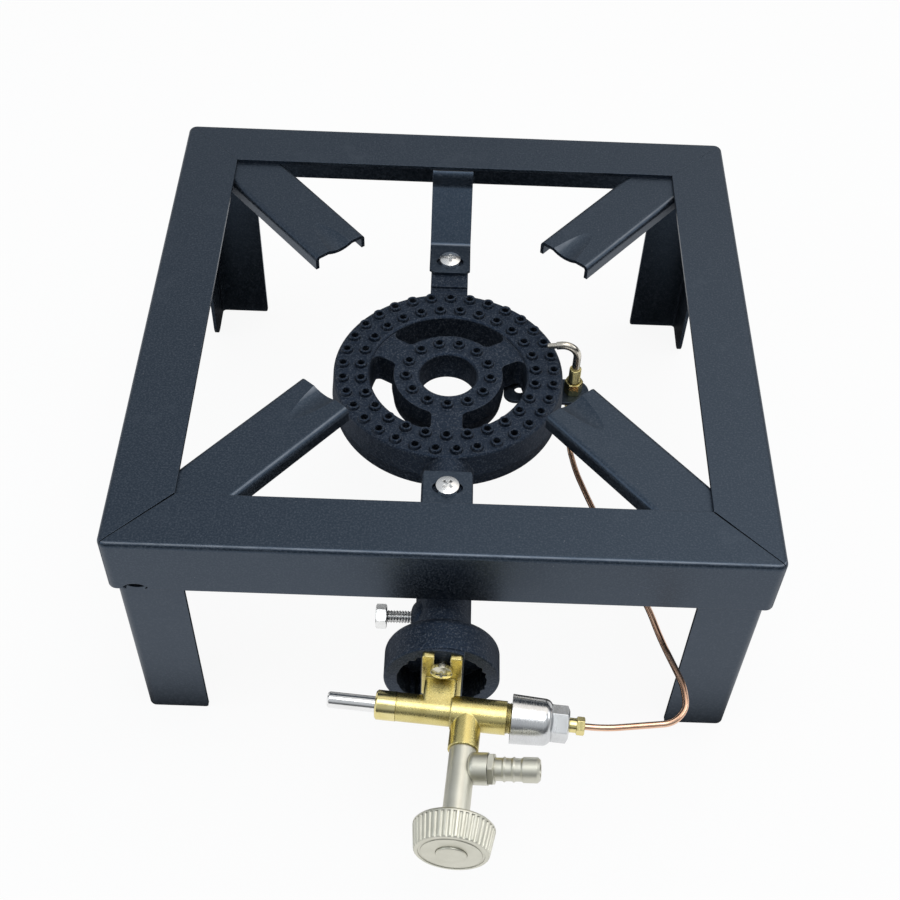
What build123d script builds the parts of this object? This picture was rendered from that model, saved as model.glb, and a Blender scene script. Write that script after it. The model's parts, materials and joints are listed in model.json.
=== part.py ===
from build123d import *

import math
import os

# Single burner gas stove: a square folded-steel stand with a cast-iron ring burner hung in it,
# fed through a venturi by a brass safety valve with a needle valve, hose barb and thermocouple.
# Millimetres. +X right, +Y to the rear, +Z up. The origin is on the floor under the stand's middle.

# Stand
STAND_SIDE = 302.0
STAND_HEIGHT = 136.0
SHEET = 2.0
RAIL_WIDTH = 30.3
SKIRT_DEPTH = 32.0
STAND_INNER_CORNER = 2.5
RAIL_INNER_BEND = 0.4
FRONT_MITRE_INNER_GAP = 0.9
FRONT_MITRE_OUTER_GAP = 0.35
REAR_MITRE_GAP = 0.12
NOTCH_INSET = 13.0
NOTCH_WIDTH = 11.6
NOTCH_HEIGHT = 5.2
NOTCH_DROP = 1.3

# Legs
LEG_FACE_WIDTH = 30.5
LEG_SIDE_WIDTH = 28.6
LEG_SIDE_GAP = 1.6
LEG_CORNER_EASE = 0.5
LEG_TOP_EASE = 0.5
LEG_FACE_TOE_RADIUS = 1.5
LEG_SIDE_TOE_RADIUS = 9.0

# Pan supports
SUPPORT_SHEET = 2.0
SUPPORT_WIDTH = 31.5
SUPPORT_DEPTH = 8.0
SUPPORT_INNER_BEND = 1.0
SUPPORT_ANGLE = 50.0
SUPPORT_END_X = 59.0
SUPPORT_END_Y = 53.5
SUPPORT_LEG_GAP = 3.0
GROOVE_WIDTH = 14.0
GROOVE_DEPTH = 1.6
GROOVE_LENGTH = 22.0

# Burner brackets and their screws
BRACKET_SHEET = 2.0
REAR_BRACKET_WIDTH = 22.5
FRONT_BRACKET_WIDTH = 23.7
REAR_OFFSET = -0.9
BRACKET_DROP = 34.7
BRACKET_ADVANCE = 2.0
BRACKET_FOOT_GAP = 2.0
BRACKET_SHOULDER = 9.4
BRACKET_BEND = 3.0
REAR_TAB_TOE = 9.0
FRONT_TAB_TOE = 10.5
TAB_HEEL = 14.7
REAR_TAB_CHAMFER = 3.0
FRONT_TAB_CHAMFER = 0.6
BRACKET_SLOT_LENGTH = 15.0
BRACKET_SCREW_SPREAD = 165.0
BRACKET_SCREW_DIAMETER = 6.0
BRACKET_SCREW_LENGTH = 8.0
BRACKET_SCREW_HEAD = 11.4
BRACKET_SCREW_HEAD_HEIGHT = 3.2
FRONT_SCREW_TURN = 45.0

# Screws and fits in general, with a pan head's proportions
SLOT_CLEARANCE = 0.3
THREAD_CLEARANCE = 0.05
THREAD_RUNOUT = 0.4
RUNNING_CLEARANCE = 0.06
END_PLAY = 0.15
DOME_PER_HEAD_HEIGHT = 0.35
RECESS_PER_HEAD = 0.52
BLADE_PER_HEAD = 0.13
THREAD_PITCH = 1.0
THREAD_DEPTH = 0.5
FINE_PITCH = 0.75
FINE_DEPTH = 0.35
NUT_CHAMFER_ANGLE = 30.0
POINT_UP_TURN = 30.0

# Burner casting
RING_RADIUS = 60.0
RING_BORE = 41.3
RING_HEIGHT = 21.9
RING_DRAFT = 1.0
RING_EDGE = 1.0
RING_PARTING_HEIGHT = 8.0
HUB_RADIUS = 28.6
HUB_BORE = 15.0
HUB_STEP = 2.0
HUB_LIFT = 2.9
SPOKE_WIDTH = 16.0
SPOKE_COUNT = 3
SPOKE_CORNER = 3.5
CAST_WALL = 2.6
CAST_ROOF = 4.0
CAST_FLOOR = 4.0
SPOKE_DUCT_WIDTH = 8.0
SPOKE_DUCT_HEIGHT = 8.0
PORT_HOLE = 3.6
PORT_FOOT = 6.8
PORT_TOP = 6.0
PORT_HEIGHT = 2.2
PORT_RIM_ROUND = 0.6
PORT_RIM_SHARE = 0.4
OUTER_PORTS = 33
OUTER_PORT_CIRCLE = 110.6
MIDDLE_PORTS = 27
MIDDLE_PORT_CIRCLE = 91.8
INNER_PORTS = 13
INNER_PORT_CIRCLE = 44.4
PAD_RISE = 1.4
PAD_START = 4.2
PAD_OVERHANG = 9.5
REAR_LUG_WIDTH = 20.3
FRONT_LUG_WIDTH = 25.0
LUG_DEPTH = 15.0
NECK_OFFSET = 1.3
NECK_RADIUS = 13.0
NECK_BORE = 9.0
NECK_END_WALL = 4.0
NECK_OVERLAP = 10.0
GAS_AXIS_DROP = 17.3

# Venturi bell and its clamping bolt
BELL_STANDOFF = 11.0
BELL_DEPTH = 18.0
BELL_RADIUS = 26.3
BELL_RIM = 6.0
BELL_SCALLOPS = 26
BELL_SCALLOP_HEIGHT = 0.7
BELL_POINTS_PER_SCALLOP = 4
BELL_SWELLS = (2, 5)
BELL_BACK_WALL = 4.0
BELL_EDGE = 5.0
BELL_FACE_EDGE = 0.8
BELL_BAR_WIDTH = 19.0
BELL_BAR_DEPTH = 7.0
BELL_PAD_PROUD = 1.0
SPIGOT_LENGTH = 30.0
SPIGOT_WALL = 1.8
SPIGOT_RADIUS = 10.4
SPIGOT_CLEARANCE = 0.1
CLAMP_BOLT_INSET = 16.0
CLAMP_BOLT_DIAMETER = 6.0
CLAMP_BOLT_FLATS = 10.0
CLAMP_BOLT_HEAD = 5.0
CLAMP_BOLT_SHOWN = 11.4
CLAMP_BOLT_PITCH = 1.25
CLAMP_BOLT_THREAD_DEPTH = 0.6
CLAMP_BOSS_RADIUS = 8.5
CLAMP_BOSS_PROUD = 2.0
CLAMP_BOSS_ROUND = 6.0

# Safety valve, in its own frame: +x along the barrel, +y to the burner, origin on the barrel's axis
VALVE_YAW = 4.8
VALVE_OFFSET = 1.4
VALVE_STANDOFF = 15.3
FORK_THICKNESS = 2.4
FORK_WIDTH = 17.7
FORK_SLOT = 7.3
FORK_TOP = 23.2
FORK_BOTTOM = 8.0
FORK_CORNER = 1.2
VALVE_BLOCK_WIDTH = 14.4
VALVE_BLOCK_TOP = 7.0
VALVE_BLOCK_EDGE = 1.5
BARREL_RADIUS = 6.5
CHAMBER_RADIUS = 7.6
CHAMBER_BORE = 6.0
BARREL_END = -18.7
CHAMBER_START = 5.8
CHAMBER_END = 30.5
CHAMBER_NECK_RADIUS = 7.0
CHAMBER_NECK_LENGTH = 9.5
BARREL_BORE = 4.8
BARREL_BORE_END = -3.5
GUIDE_WALL = 1.5
SEAT_POSITION = 8.0
SEAT_HOLE = 3.2
OUTLET_BORE = 3.5
VALVE_SCREW_HEIGHT = 14.3
VALVE_SCREW_DIAMETER = 5.0
VALVE_SCREW_LENGTH = 8.0
VALVE_SCREW_HEAD = 9.7
VALVE_SCREW_HEAD_HEIGHT = 3.2
BURNER_JET_LENGTH = 20.0
BURNER_JET_NOSE = 4.4
BURNER_JET_HOLE = 0.5
BURNER_JET_WALL = 1.0
BURNER_JET_ROOM = 0.6

# Safety plunger
SLEEVE_LENGTH = 9.2
SLEEVE_RADIUS = 6.7
SLEEVE_SPIGOT = 4.0
SLEEVE_CHAMFER = 0.8
PLUNGER_RADIUS = 3.6
PLUNGER_SHOWN = 21.5
PLUNGER_TRAVEL = 5.0
PLUNGER_SHOULDER = 2.6
PLUNGER_PIN_RADIUS = 1.6
PLUNGER_CHAMFER = 0.7
O_RING_WIRE = 0.55
SPRING_WIRE = 0.35
SPRING_TURNS = 5
SPRING_END_GAP = 0.3

# Flame-failure valve and magnet
SEAL_RADIUS = 5.2
SEAL_THICKNESS = 1.6
VALVE_STEM_RADIUS = 1.5
VALVE_PLATE = 1.0
ARMATURE_RADIUS = 4.4
ARMATURE_THICKNESS = 2.0
CAN_START = 19.5
CAN_WALL = 0.8
CAN_ROOM = 4.5
CORE_RADIUS = 3.0
COIL_THICKNESS = 1.6
COIL_INSET = 2.0
CAP_START = 32.7
CAP_LENGTH = 18.2
CAP_MOUTH_RADIUS = 11.1
CAP_SHOULDER_RADIUS = 10.3
CAP_SHOULDER_ROUND = 4.0
CAP_MOUTH_DEPTH = 2.5
CAP_MOUTH_WALL = 1.6
CAP_HEX_FLATS = 14.5
CAP_HEX_LENGTH = 7.4
CAP_HEX_CHAMFER = 1.0
CAP_END_WALL = 1.4
END_NUT_SPIGOT = 3.1
END_NUT_COLLAR = 3.3
END_NUT_COLLAR_LENGTH = 3.4
END_NUT_FLATS = 7.2
END_NUT_HEX_LENGTH = 3.6
END_NUT_DEPTH = 6.0

# Needle valve and hose barb
INLET_POSITION = 13.0
INLET_RADIUS = 6.8
INLET_LENGTH = 18.5
INLET_BORE = 3.0
NEEDLE_BARREL_RADIUS = 5.9
NEEDLE_BARREL_LENGTH = 35.2
NEEDLE_SPIGOT_RADIUS = 4.8
NEEDLE_SPIGOT_LENGTH = 8.0
NEEDLE_ORIFICE = 1.5
NEEDLE_ROOM = 3.5
NEEDLE_ROOM_START = 3.5
NEEDLE_ROOM_LENGTH = 13.0
NEEDLE_THREAD_RADIUS = 3.0
NEEDLE_SHAFT_RADIUS = 2.5
NEEDLE_TIP_RADIUS = 0.9
NEEDLE_TIP_LENGTH = 3.0
NEEDLE_TIP_ENTRY = 1.0
NEEDLE_LIFT = 2.5
GLAND_RADIUS = 4.0
GLAND_DEPTH = 8.0
PACKING_GAP = 0.5
PACKING_LENGTH = 3.5
BARB_POSITION = 8.8
BARB_ROLL = 9.5
BARB_NECK_RADIUS = 7.1
BARB_NECK_START = 3.6
BARB_NECK_ROUND = 2.5
BARB_NECK_LENGTH = 12.1
BARB_SPIGOT_RADIUS = 4.6
BARB_SPIGOT_LENGTH = 5.0
BARB_FLATS = 13.0
BARB_HEX_LENGTH = 2.8
BARB_LENGTH = 19.6
BARB_TIP_LENGTH = 7.2
BARB_RADIUS = 5.55
BARB_ROOT_RADIUS = 5.0
BARB_RIDGES = 2
BARB_RIDGE_WIDTH = 1.6
BARB_BORE = 3.0
BARB_TIP_CHAMFER = 1.1

# Control knob
KNOB_GAP = 1.0
KNOB_DEPTH = 12.8
KNOB_BACK_RADIUS = 17.6
KNOB_FACE_RADIUS = 16.0
KNOB_BACK_BEVEL = 0.8
KNOB_BACK_RIM = 1.6
KNOB_FACE_ROUND = 1.2
KNOB_SERRATIONS = 42
SERRATION_DEPTH = 0.55
SERRATION_WIDTH = 1.5
KNOB_HOLLOW_RADIUS = 13.0
KNOB_HOLLOW_DEPTH = 5.0
KNOB_HUB_RADIUS = 6.0
KNOB_RING_RADIUS = 13.0
KNOB_RING_WIDTH = 1.2
KNOB_RING_DEPTH = 0.3
KNOB_CAP_RADIUS = 6.6
KNOB_CAP_THICKNESS = 2.2
KNOB_CAP_PROUD = 1.0
KNOB_CAP_ROUND = 0.7
KNOB_CAP_EASE = 0.1
KNOB_SCREW_DIAMETER = 3.0
KNOB_SCREW_LENGTH = 7.0
KNOB_SCREW_HEAD = 5.5
KNOB_SCREW_HEAD_HEIGHT = 2.0
KNOB_SEAT_WALL = 1.5

# Thermocouple
PROBE_STANDOFF = 7.6
PROBE_Y = 10.5
STRIP_SHEET = 2.0
STRIP_WIDTH = 17.5
STRIP_OVERHANG = 10.9
STRIP_SPARE_HOLE_INSET = 8.5
STRIP_CORNER = 6.0
STRIP_SPARE_HOLE = 5.8
STRIP_SCREW_DIAMETER = 4.0
STRIP_SCREW_LENGTH = 5.0
STRIP_SCREW_HEAD = 7.0
STRIP_SCREW_HEAD_HEIGHT = 2.4
BUSH_RADIUS = 3.2
BUSH_RISE = 17.0
BUSH_DROP = 12.0
LOCK_NUT_FLATS = 8.6
LOCK_NUT_HEIGHT = 4.6
UPPER_NUT_HEIGHT = 8.0
PROBE_RADIUS = 2.05
PROBE_RISE = 34.5
PROBE_REACH = 15.0
PROBE_DIP = 4.0
PROBE_BEND = 7.0
PROBE_TIP_RADIUS = 1.5
PROBE_TIP_LENGTH = 4.0
PROBE_DEPTH = 4.0
LEAD_DIAMETER = 3.0
LEAD_SEAT = 3.0
LEAD_STRAIGHT_END = 74.0
BEND_PER_RUN = 0.45

# The lead's corners, first from the foot of the probe's bush and then in the safety valve's frame
LEAD_FROM_PROBE = [
    (0.0, 0.0, -6.8),
    (0.3, -4.8, -15.2),
    (1.1, -13.2, -20.0),
    (4.0, -30.5, -19.5),
    (10.9, -60.9, -13.0),
    (20.9, -102.5, -0.5),
]
LEAD_TO_VALVE = [
    (92.7, 69.8, -2.0),
    (98.4, 51.4, -0.5),
    (109.2, 26.4, 0.2),
    (110.4, 14.6, 0.0),
    (104.5, 6.4, 0.0),
]

# Levels and places worked out from the sizes above
SKIRT_BOTTOM = STAND_HEIGHT - SKIRT_DEPTH
RAIL_UNDERSIDE = STAND_HEIGHT - SHEET
SKIRT_INSIDE = STAND_SIDE / 2 - SHEET
LEG_TOP = RAIL_UNDERSIDE - RAIL_INNER_BEND - LEG_TOP_EASE
TAB_TOP = STAND_HEIGHT - BRACKET_DROP
PAD_TOP = TAB_TOP - BRACKET_SHEET
RING_TOP = PAD_TOP - PAD_RISE
RING_BOTTOM = RING_TOP - RING_HEIGHT
HUB_TOP = RING_TOP - HUB_STEP
HUB_BOTTOM = RING_BOTTOM + HUB_LIFT
GAS_Z = PAD_TOP - GAS_AXIS_DROP
BRACKET_SCREW_Y = BRACKET_SCREW_SPREAD / 2
BELL_BACK = -(STAND_SIDE / 2 + BELL_STANDOFF)
BELL_FACE = BELL_BACK - BELL_DEPTH
NECK = Pos(NECK_OFFSET, 0, GAS_Z)
CLAMP = NECK * Pos(0, BELL_BACK + CLAMP_BOLT_INSET, 0)
BELL_PAD = (VALVE_OFFSET, BELL_FACE - BELL_PAD_PROUD, GAS_Z)
VALVE = Pos(*BELL_PAD) * Rot(0, 0, -VALVE_YAW) * Pos(0, -VALVE_STANDOFF, 0)
NEEDLE = VALVE * Pos(INLET_POSITION, -INLET_LENGTH, 0) * Rot(0, 0, -90)
BARB = NEEDLE * Pos(BARB_POSITION, 0, 0) * Rot(BARB_ROLL, 0, 0) * Rot(0, 0, 90)
SLEEVE_END = BARREL_END - SLEEVE_LENGTH
SHOULDER_START = BARREL_END + SLEEVE_SPIGOT + END_PLAY
SHOULDER_END = SHOULDER_START + PLUNGER_SHOULDER
PLATE_START = SEAT_POSITION + END_PLAY + SEAL_THICKNESS
PLATE_END = PLATE_START + VALVE_PLATE
ARMATURE_START = CAN_START + CAN_ROOM
ARMATURE_END = ARMATURE_START + ARMATURE_THICKNESS
CORE_START = ARMATURE_END + PLUNGER_TRAVEL + END_PLAY
CHAMBER_NECK_END = CHAMBER_END + CHAMBER_NECK_LENGTH
CAP_SHOULDER = CAP_START + CAP_LENGTH
CAP_END = CAP_SHOULDER + CAP_HEX_LENGTH
CAN_END = CAP_SHOULDER - CAP_END_WALL
END_NUT_END = CAP_END + END_NUT_COLLAR_LENGTH + END_NUT_HEX_LENGTH
NEEDLE_ROOM_END = NEEDLE_ROOM_START + NEEDLE_ROOM_LENGTH
GLAND_START = NEEDLE_BARREL_LENGTH - GLAND_DEPTH
PACKING_START = GLAND_START + PACKING_GAP
PACKING_END = PACKING_START + PACKING_LENGTH
KNOB_START = NEEDLE_BARREL_LENGTH + KNOB_GAP
KNOB_END = KNOB_START + KNOB_DEPTH
KNOB_CAP_START = KNOB_END + KNOB_CAP_PROUD - KNOB_CAP_THICKNESS
KNOB_SCREW_SEAT = KNOB_CAP_START - KNOB_SCREW_HEAD_HEIGHT - END_PLAY
NEEDLE_END = KNOB_SCREW_SEAT - KNOB_SEAT_WALL
PROBE_X = RING_RADIUS + PROBE_STANDOFF
STRIP_INNER_END = RING_BORE - STRIP_OVERHANG
STRIP_SPARE_HOLE_X = STRIP_INNER_END + STRIP_SPARE_HOLE_INSET
STRIP_SCREW_X = (RING_BORE + RING_RADIUS) / 2
BUSH_BOTTOM = RING_BOTTOM - BUSH_DROP
BUSH_TOP = RING_BOTTOM + BUSH_RISE
FRONT_ANGLE = 270.0
REAR_ANGLE = 90.0

AXIS_VECTORS = {"x": (1, 0, 0), "y": (0, 1, 0), "z": (0, 0, 1)}
AXIS_SIDES = {"x": (0, 1, 0), "y": (1, 0, 0), "z": (1, 0, 0)}
AXIS_LINES = {"x": Axis.X, "y": Axis.Y, "z": Axis.Z}


def across(axis, place):
    """The plane square to an axis, at a place along it."""
    origin = tuple(place * part for part in AXIS_VECTORS[axis])
    return Plane(origin=origin, x_dir=AXIS_SIDES[axis], z_dir=AXIS_VECTORS[axis])


def bar(axis, radius, start, end):
    """A round bar along an axis."""
    return extrude(across(axis, start) * Circle(radius), end - start)


def tube(axis, outside, inside, start, end):
    """A round tube along an axis."""
    return bar(axis, outside, start, end) - bar(axis, inside, start, end)


def hexagon(axis, flats, start, end, turn=0.0):
    """A hexagonal bar along an axis."""
    outline = RegularPolygon(flats / 2, 6, major_radius=False, rotation=turn)
    return extrude(across(axis, start) * outline, end - start)


def turned(axis, profile):
    """A solid of revolution from (place along the axis, radius) points."""
    along = Vector(*AXIS_VECTORS[axis])
    side = Vector(*AXIS_SIDES[axis])
    points = [along * place + side * radius for place, radius in profile]
    return revolve(make_face(Polyline(*points, close=True)), AXIS_LINES[axis])


def threaded(axis, radius, start, end, pitch, depth):
    """A round bar with thread-like grooves along its whole length."""
    turns = max(1, int((end - start) / pitch))
    step = (end - start) / turns
    profile = [(start, 0)]
    for index in range(turns):
        crest = start + step * index
        profile += [(crest, radius - depth), (crest + step / 2, radius)]
    return turned(axis, profile + [(end, radius - depth), (end, 0)])


def nut_blank(axis, flats, start, end, turn=0.0):
    """A hexagonal bar whose corners are chamfered at both ends."""
    corner = flats / math.sqrt(3)
    face = flats / 2
    slope = (corner - face) * math.tan(math.radians(NUT_CHAMFER_ANGLE))
    rise = [(start, 0), (start, face), (start + slope, corner)]
    fall = [(end - slope, corner), (end, face), (end, 0)]
    return hexagon(axis, flats, start, end, turn) & turned(axis, rise + fall)


def block(x_range, y_range, z_range):
    """A box between two corners."""
    ranges = (x_range, y_range, z_range)
    middle = [(low + high) / 2 for low, high in ranges]
    return Pos(*middle) * Box(*[high - low for low, high in ranges])


def pan_screw(diameter, length, head, head_height):
    """A cross-recess pan-head screw, head up, with the underside of its head at the origin."""
    dome = head_height * DOME_PER_HEAD_HEIGHT
    ball = (head**2 / 4 + dome**2) / (2 * dome)
    top = bar("z", head / 2, 0, head_height) & (Pos(0, 0, head_height - ball) * Sphere(ball))
    shank_radius = diameter / 2 - THREAD_CLEARANCE
    point = shank_radius - THREAD_RUNOUT
    profile = [(-length, 0), (-length, point), (THREAD_RUNOUT - length, shank_radius)]
    shank = turned("z", profile + [(head_height / 2, shank_radius), (head_height / 2, 0)])
    wing = head * RECESS_PER_HEAD
    blade = head * BLADE_PER_HEAD
    recess = Box(wing, blade, head_height) + Box(blade, wing, head_height)
    return top + shank - Pos(0, 0, head_height) * recess


def coil(radius, start, end):
    """A compression spring along X, wound between two places."""
    height = end - start - 2 * SPRING_WIRE
    path = Helix(height / SPRING_TURNS, height, radius)
    section = Plane(origin=path @ 0, z_dir=path % 0) * Circle(SPRING_WIRE)
    return Pos(start + SPRING_WIRE, 0, 0) * Rot(0, 90, 0) * sweep(section, path=path)


# Stand
def stand_shell():
    """The four rails before they are parted at the mitres."""
    corner = STAND_INNER_CORNER + SHEET
    outline = RectangleRounded(STAND_SIDE, STAND_SIDE, corner)
    outside = extrude(Pos(0, 0, SKIRT_BOTTOM) * outline, SKIRT_DEPTH)
    outside = fillet(outside.faces().sort_by(Axis.Z)[-1].edges(), RAIL_INNER_BEND + SHEET)
    cavity = RectangleRounded(2 * SKIRT_INSIDE, 2 * SKIRT_INSIDE, STAND_INNER_CORNER)
    inside = extrude(Pos(0, 0, SKIRT_BOTTOM) * cavity, SKIRT_DEPTH - SHEET)
    inside = fillet(inside.faces().sort_by(Axis.Z)[-1].edges(), RAIL_INNER_BEND)
    opening = STAND_SIDE - 2 * RAIL_WIDTH
    return outside - inside - Pos(0, 0, STAND_HEIGHT) * Box(opening, opening, 4 * SHEET)


def corner_notch():
    """The lens-shaped cut at the front left corner, through the skirt's edge and the leg behind it."""
    radius = (NOTCH_WIDTH**2 + NOTCH_HEIGHT**2) / (4 * NOTCH_HEIGHT)
    lift = radius - NOTCH_HEIGHT / 2
    disc = bar("y", radius, -STAND_SIDE / 2 - SHEET, -SKIRT_INSIDE + 2 * SHEET)
    lens = (Pos(0, 0, lift) * disc) & (Pos(0, 0, -lift) * disc)
    middle = SKIRT_BOTTOM - NOTCH_DROP + NOTCH_HEIGHT / 2
    return Pos(NOTCH_INSET - STAND_SIDE / 2, 0, middle) * lens


def rails():
    """Front, right, rear and left rails, cut from one square, with mitres that gape at the front."""
    inner = math.sqrt(2) * (STAND_SIDE / 2 - RAIL_WIDTH)
    outer = math.sqrt(2) * STAND_SIDE / 2
    inner_end = [(inner, -FRONT_MITRE_INNER_GAP / 2), (inner, FRONT_MITRE_INNER_GAP / 2)]
    outer_end = [(outer, FRONT_MITRE_OUTER_GAP / 2), (outer, -FRONT_MITRE_OUTER_GAP / 2)]
    gap = extrude(make_face(Polyline(*inner_end, *outer_end, close=True)), STAND_HEIGHT)
    shell = stand_shell()
    for side in (-1, 1):
        shell -= Rot(0, 0, FRONT_ANGLE + side * 45) * gap
    step = REAR_MITRE_GAP / math.sqrt(2)
    base = -STAND_SIDE - step
    outline = Polyline((0, -step), (-STAND_SIDE, base), (STAND_SIDE, base), close=True)
    wedge = extrude(make_face(outline), STAND_HEIGHT)
    parts = {}
    for turn, side in enumerate(("front", "right", "rear", "left")):
        parts[side] = shell & (Rot(0, 0, 90 * turn) * wedge)
    parts["front"] -= corner_notch()
    return parts


def leg():
    """The leg of the rear right corner: an angle seated on the rear skirt, clear of the side skirt."""
    edge = SKIRT_INSIDE
    side = edge - LEG_SIDE_GAP
    face_end = side - LEG_FACE_WIDTH
    side_end = edge - LEG_SIDE_WIDTH
    back = edge - SHEET
    side_back = side - SHEET
    outer = [(face_end, edge), (side, edge), (side, side_end)]
    inner = [(side_back, side_end), (side_back, back), (face_end, back)]
    solid = extrude(make_face(Polyline(*outer, *inner, close=True)), LEG_TOP)
    bend = STAND_INNER_CORNER + LEG_CORNER_EASE
    uprights = solid.edges().filter_by(Axis.Z).sort_by(lambda e: e.center().X + e.center().Y)
    solid = fillet(uprights[-1], bend + SHEET / 2)
    elbow = solid.edges().filter_by(Axis.Z).sort_by_distance((side_back, back, LEG_TOP / 2))[0]
    solid = fillet(elbow, bend - SHEET / 2)
    toes = ((Axis.Y, Axis.X, LEG_FACE_TOE_RADIUS), (Axis.X, Axis.Y, LEG_SIDE_TOE_RADIUS))
    for axis, order, radius in toes:
        toe = solid.edges().filter_by(axis).group_by(Axis.Z)[0].sort_by(order)[0]
        solid = fillet(toe, radius)
    return solid


def pan_support():
    """The rear right pan support: an upturned channel with a groove that runs out from its inner end."""
    lean = math.radians(SUPPORT_ANGLE)
    edge = SKIRT_INSIDE - SHEET - SUPPORT_LEG_GAP
    rear_room = edge - SUPPORT_END_Y - SUPPORT_WIDTH / 2 * math.cos(lean)
    side_room = edge - LEG_SIDE_GAP - SUPPORT_END_X - SUPPORT_WIDTH / 2 * math.sin(lean)
    length = min(rear_room / math.sin(lean), side_room / math.cos(lean))
    outside = block((0, length), (-SUPPORT_WIDTH / 2, SUPPORT_WIDTH / 2), (-SUPPORT_DEPTH, 0))
    shoulders = outside.edges().filter_by(Axis.X).group_by(Axis.Z)[-1]
    outside = fillet(shoulders, SUPPORT_INNER_BEND + SUPPORT_SHEET)
    half_room = SUPPORT_WIDTH / 2 - SUPPORT_SHEET
    inside = block((0, length), (-half_room, half_room), (-SUPPORT_DEPTH, -SUPPORT_SHEET))
    inside = fillet(inside.edges().filter_by(Axis.X).group_by(Axis.Z)[-1], SUPPORT_INNER_BEND)
    groove_radius = (GROOVE_WIDTH**2 / 4 + GROOVE_DEPTH**2) / (2 * GROOVE_DEPTH)
    slope = math.degrees(math.atan2(GROOVE_DEPTH, GROOVE_LENGTH))
    press = Pos(0, 0, groove_radius - GROOVE_DEPTH) * Rot(0, -slope, 0)
    rib = bar("x", groove_radius + SUPPORT_SHEET, -GROOVE_DEPTH, GROOVE_LENGTH)
    below = block((0, length), (-half_room, half_room), (-SUPPORT_DEPTH, -SUPPORT_SHEET / 2))
    groove = bar("x", groove_radius, -GROOVE_DEPTH, 2 * GROOVE_LENGTH)
    solid = outside - inside + (below & (press * rib)) - press * groove
    return Pos(SUPPORT_END_X, SUPPORT_END_Y, RAIL_UNDERSIDE) * Rot(0, 0, SUPPORT_ANGLE) * solid


def four_corners(solid):
    """A rear right piece and its mirror images at the other corners."""
    left = mirror(solid, about=Plane.YZ)
    return {
        "rear_right": solid,
        "rear_left": left,
        "front_right": mirror(solid, about=Plane.XZ),
        "front_left": mirror(left, about=Plane.XZ),
    }


# Burner brackets
def burner_bracket(width, tab_toe, tab_chamfer):
    """The rear strap, cranked down from the rail to the burner's lug."""
    half = BRACKET_SHEET / 2
    foot = RAIL_UNDERSIDE - half
    drop_y = STAND_SIDE / 2 - RAIL_WIDTH - BRACKET_ADVANCE + half
    tab = TAB_TOP - half
    route = [
        (0, SKIRT_INSIDE - BRACKET_FOOT_GAP, foot),
        (0, drop_y, foot),
        (0, drop_y, RAIL_UNDERSIDE - BRACKET_SHOULDER),
        (0, BRACKET_SCREW_Y + TAB_HEEL, tab),
        (0, BRACKET_SCREW_Y - tab_toe, tab),
    ]
    bends = [BRACKET_BEND + half] * (len(route) - 2)
    start = Plane(origin=route[0], x_dir=(1, 0, 0), z_dir=(0, -1, 0))
    section = start * Rectangle(width, BRACKET_SHEET)
    strap = sweep(section, path=FilletPolyline(*route, radius=bends))
    toe = strap.faces().sort_by(Axis.Y)[0].edges().filter_by(Axis.Z)
    strap = chamfer(toe, tab_chamfer)
    slot_width = BRACKET_SCREW_DIAMETER + 2 * SLOT_CLEARANCE
    slot = extrude(SlotOverall(BRACKET_SLOT_LENGTH, slot_width), 2 * BRACKET_SHEET, both=True)
    return strap - Pos(0, BRACKET_SCREW_Y, tab) * slot


def bracket_screws():
    """One screw through each bracket's slot into the burner's lug."""
    screw = pan_screw(
        BRACKET_SCREW_DIAMETER, BRACKET_SCREW_LENGTH, BRACKET_SCREW_HEAD, BRACKET_SCREW_HEAD_HEIGHT
    )
    rear = Pos(REAR_OFFSET, BRACKET_SCREW_Y, TAB_TOP) * screw
    return [rear, Pos(NECK_OFFSET, -BRACKET_SCREW_Y, TAB_TOP) * Rot(0, 0, FRONT_SCREW_TURN) * screw]


# Burner
def port_places():
    """Angle in degrees, circle radius and plate level of every flame port."""
    rows = (
        (OUTER_PORTS, OUTER_PORT_CIRCLE / 2, RING_TOP, REAR_ANGLE),
        (MIDDLE_PORTS, MIDDLE_PORT_CIRCLE / 2, RING_TOP, FRONT_ANGLE),
        (INNER_PORTS, INNER_PORT_CIRCLE / 2, HUB_TOP, FRONT_ANGLE),
    )
    for count, radius, level, first in rows:
        for index in range(count):
            yield first + index * 360 / count, radius, level


def ring(bore, radius, bottom, top):
    """A cast ring that swells to its parting line."""
    parting = bottom + RING_PARTING_HEIGHT
    profile = [
        (bottom, bore),
        (bottom, radius),
        (parting, radius + RING_DRAFT),
        (top - RING_EDGE, radius),
        (top, radius - RING_EDGE),
        (top, bore + RING_EDGE),
        (top - RING_EDGE, bore),
    ]
    return turned("z", profile)


def gas_ways():
    """The hollow that feeds the ports: a channel in each ring, ducts in the spokes and the neck's bore."""
    outer_floor = RING_BOTTOM + CAST_FLOOR
    inner_floor = HUB_BOTTOM + CAST_FLOOR
    outer_roof = RING_TOP - CAST_ROOF
    inner_roof = HUB_TOP - CAST_ROOF
    ways = tube("z", RING_RADIUS - CAST_WALL, RING_BORE + CAST_WALL, outer_floor, outer_roof)
    ways += tube("z", HUB_RADIUS - CAST_WALL, HUB_BORE + CAST_WALL, inner_floor, inner_roof)
    half = SPOKE_DUCT_WIDTH / 2
    reach = (HUB_RADIUS - CAST_WALL * 2, RING_BORE + CAST_WALL * 2)
    duct = block(reach, (-half, half), (inner_floor, inner_floor + SPOKE_DUCT_HEIGHT))
    for angle in spoke_angles():
        ways += Rot(0, 0, angle) * duct
    neck_inner = -(RING_RADIUS - NECK_OVERLAP)
    ways += NECK * bar("y", NECK_BORE, BELL_BACK, neck_inner - NECK_END_WALL)
    return ways


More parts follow.
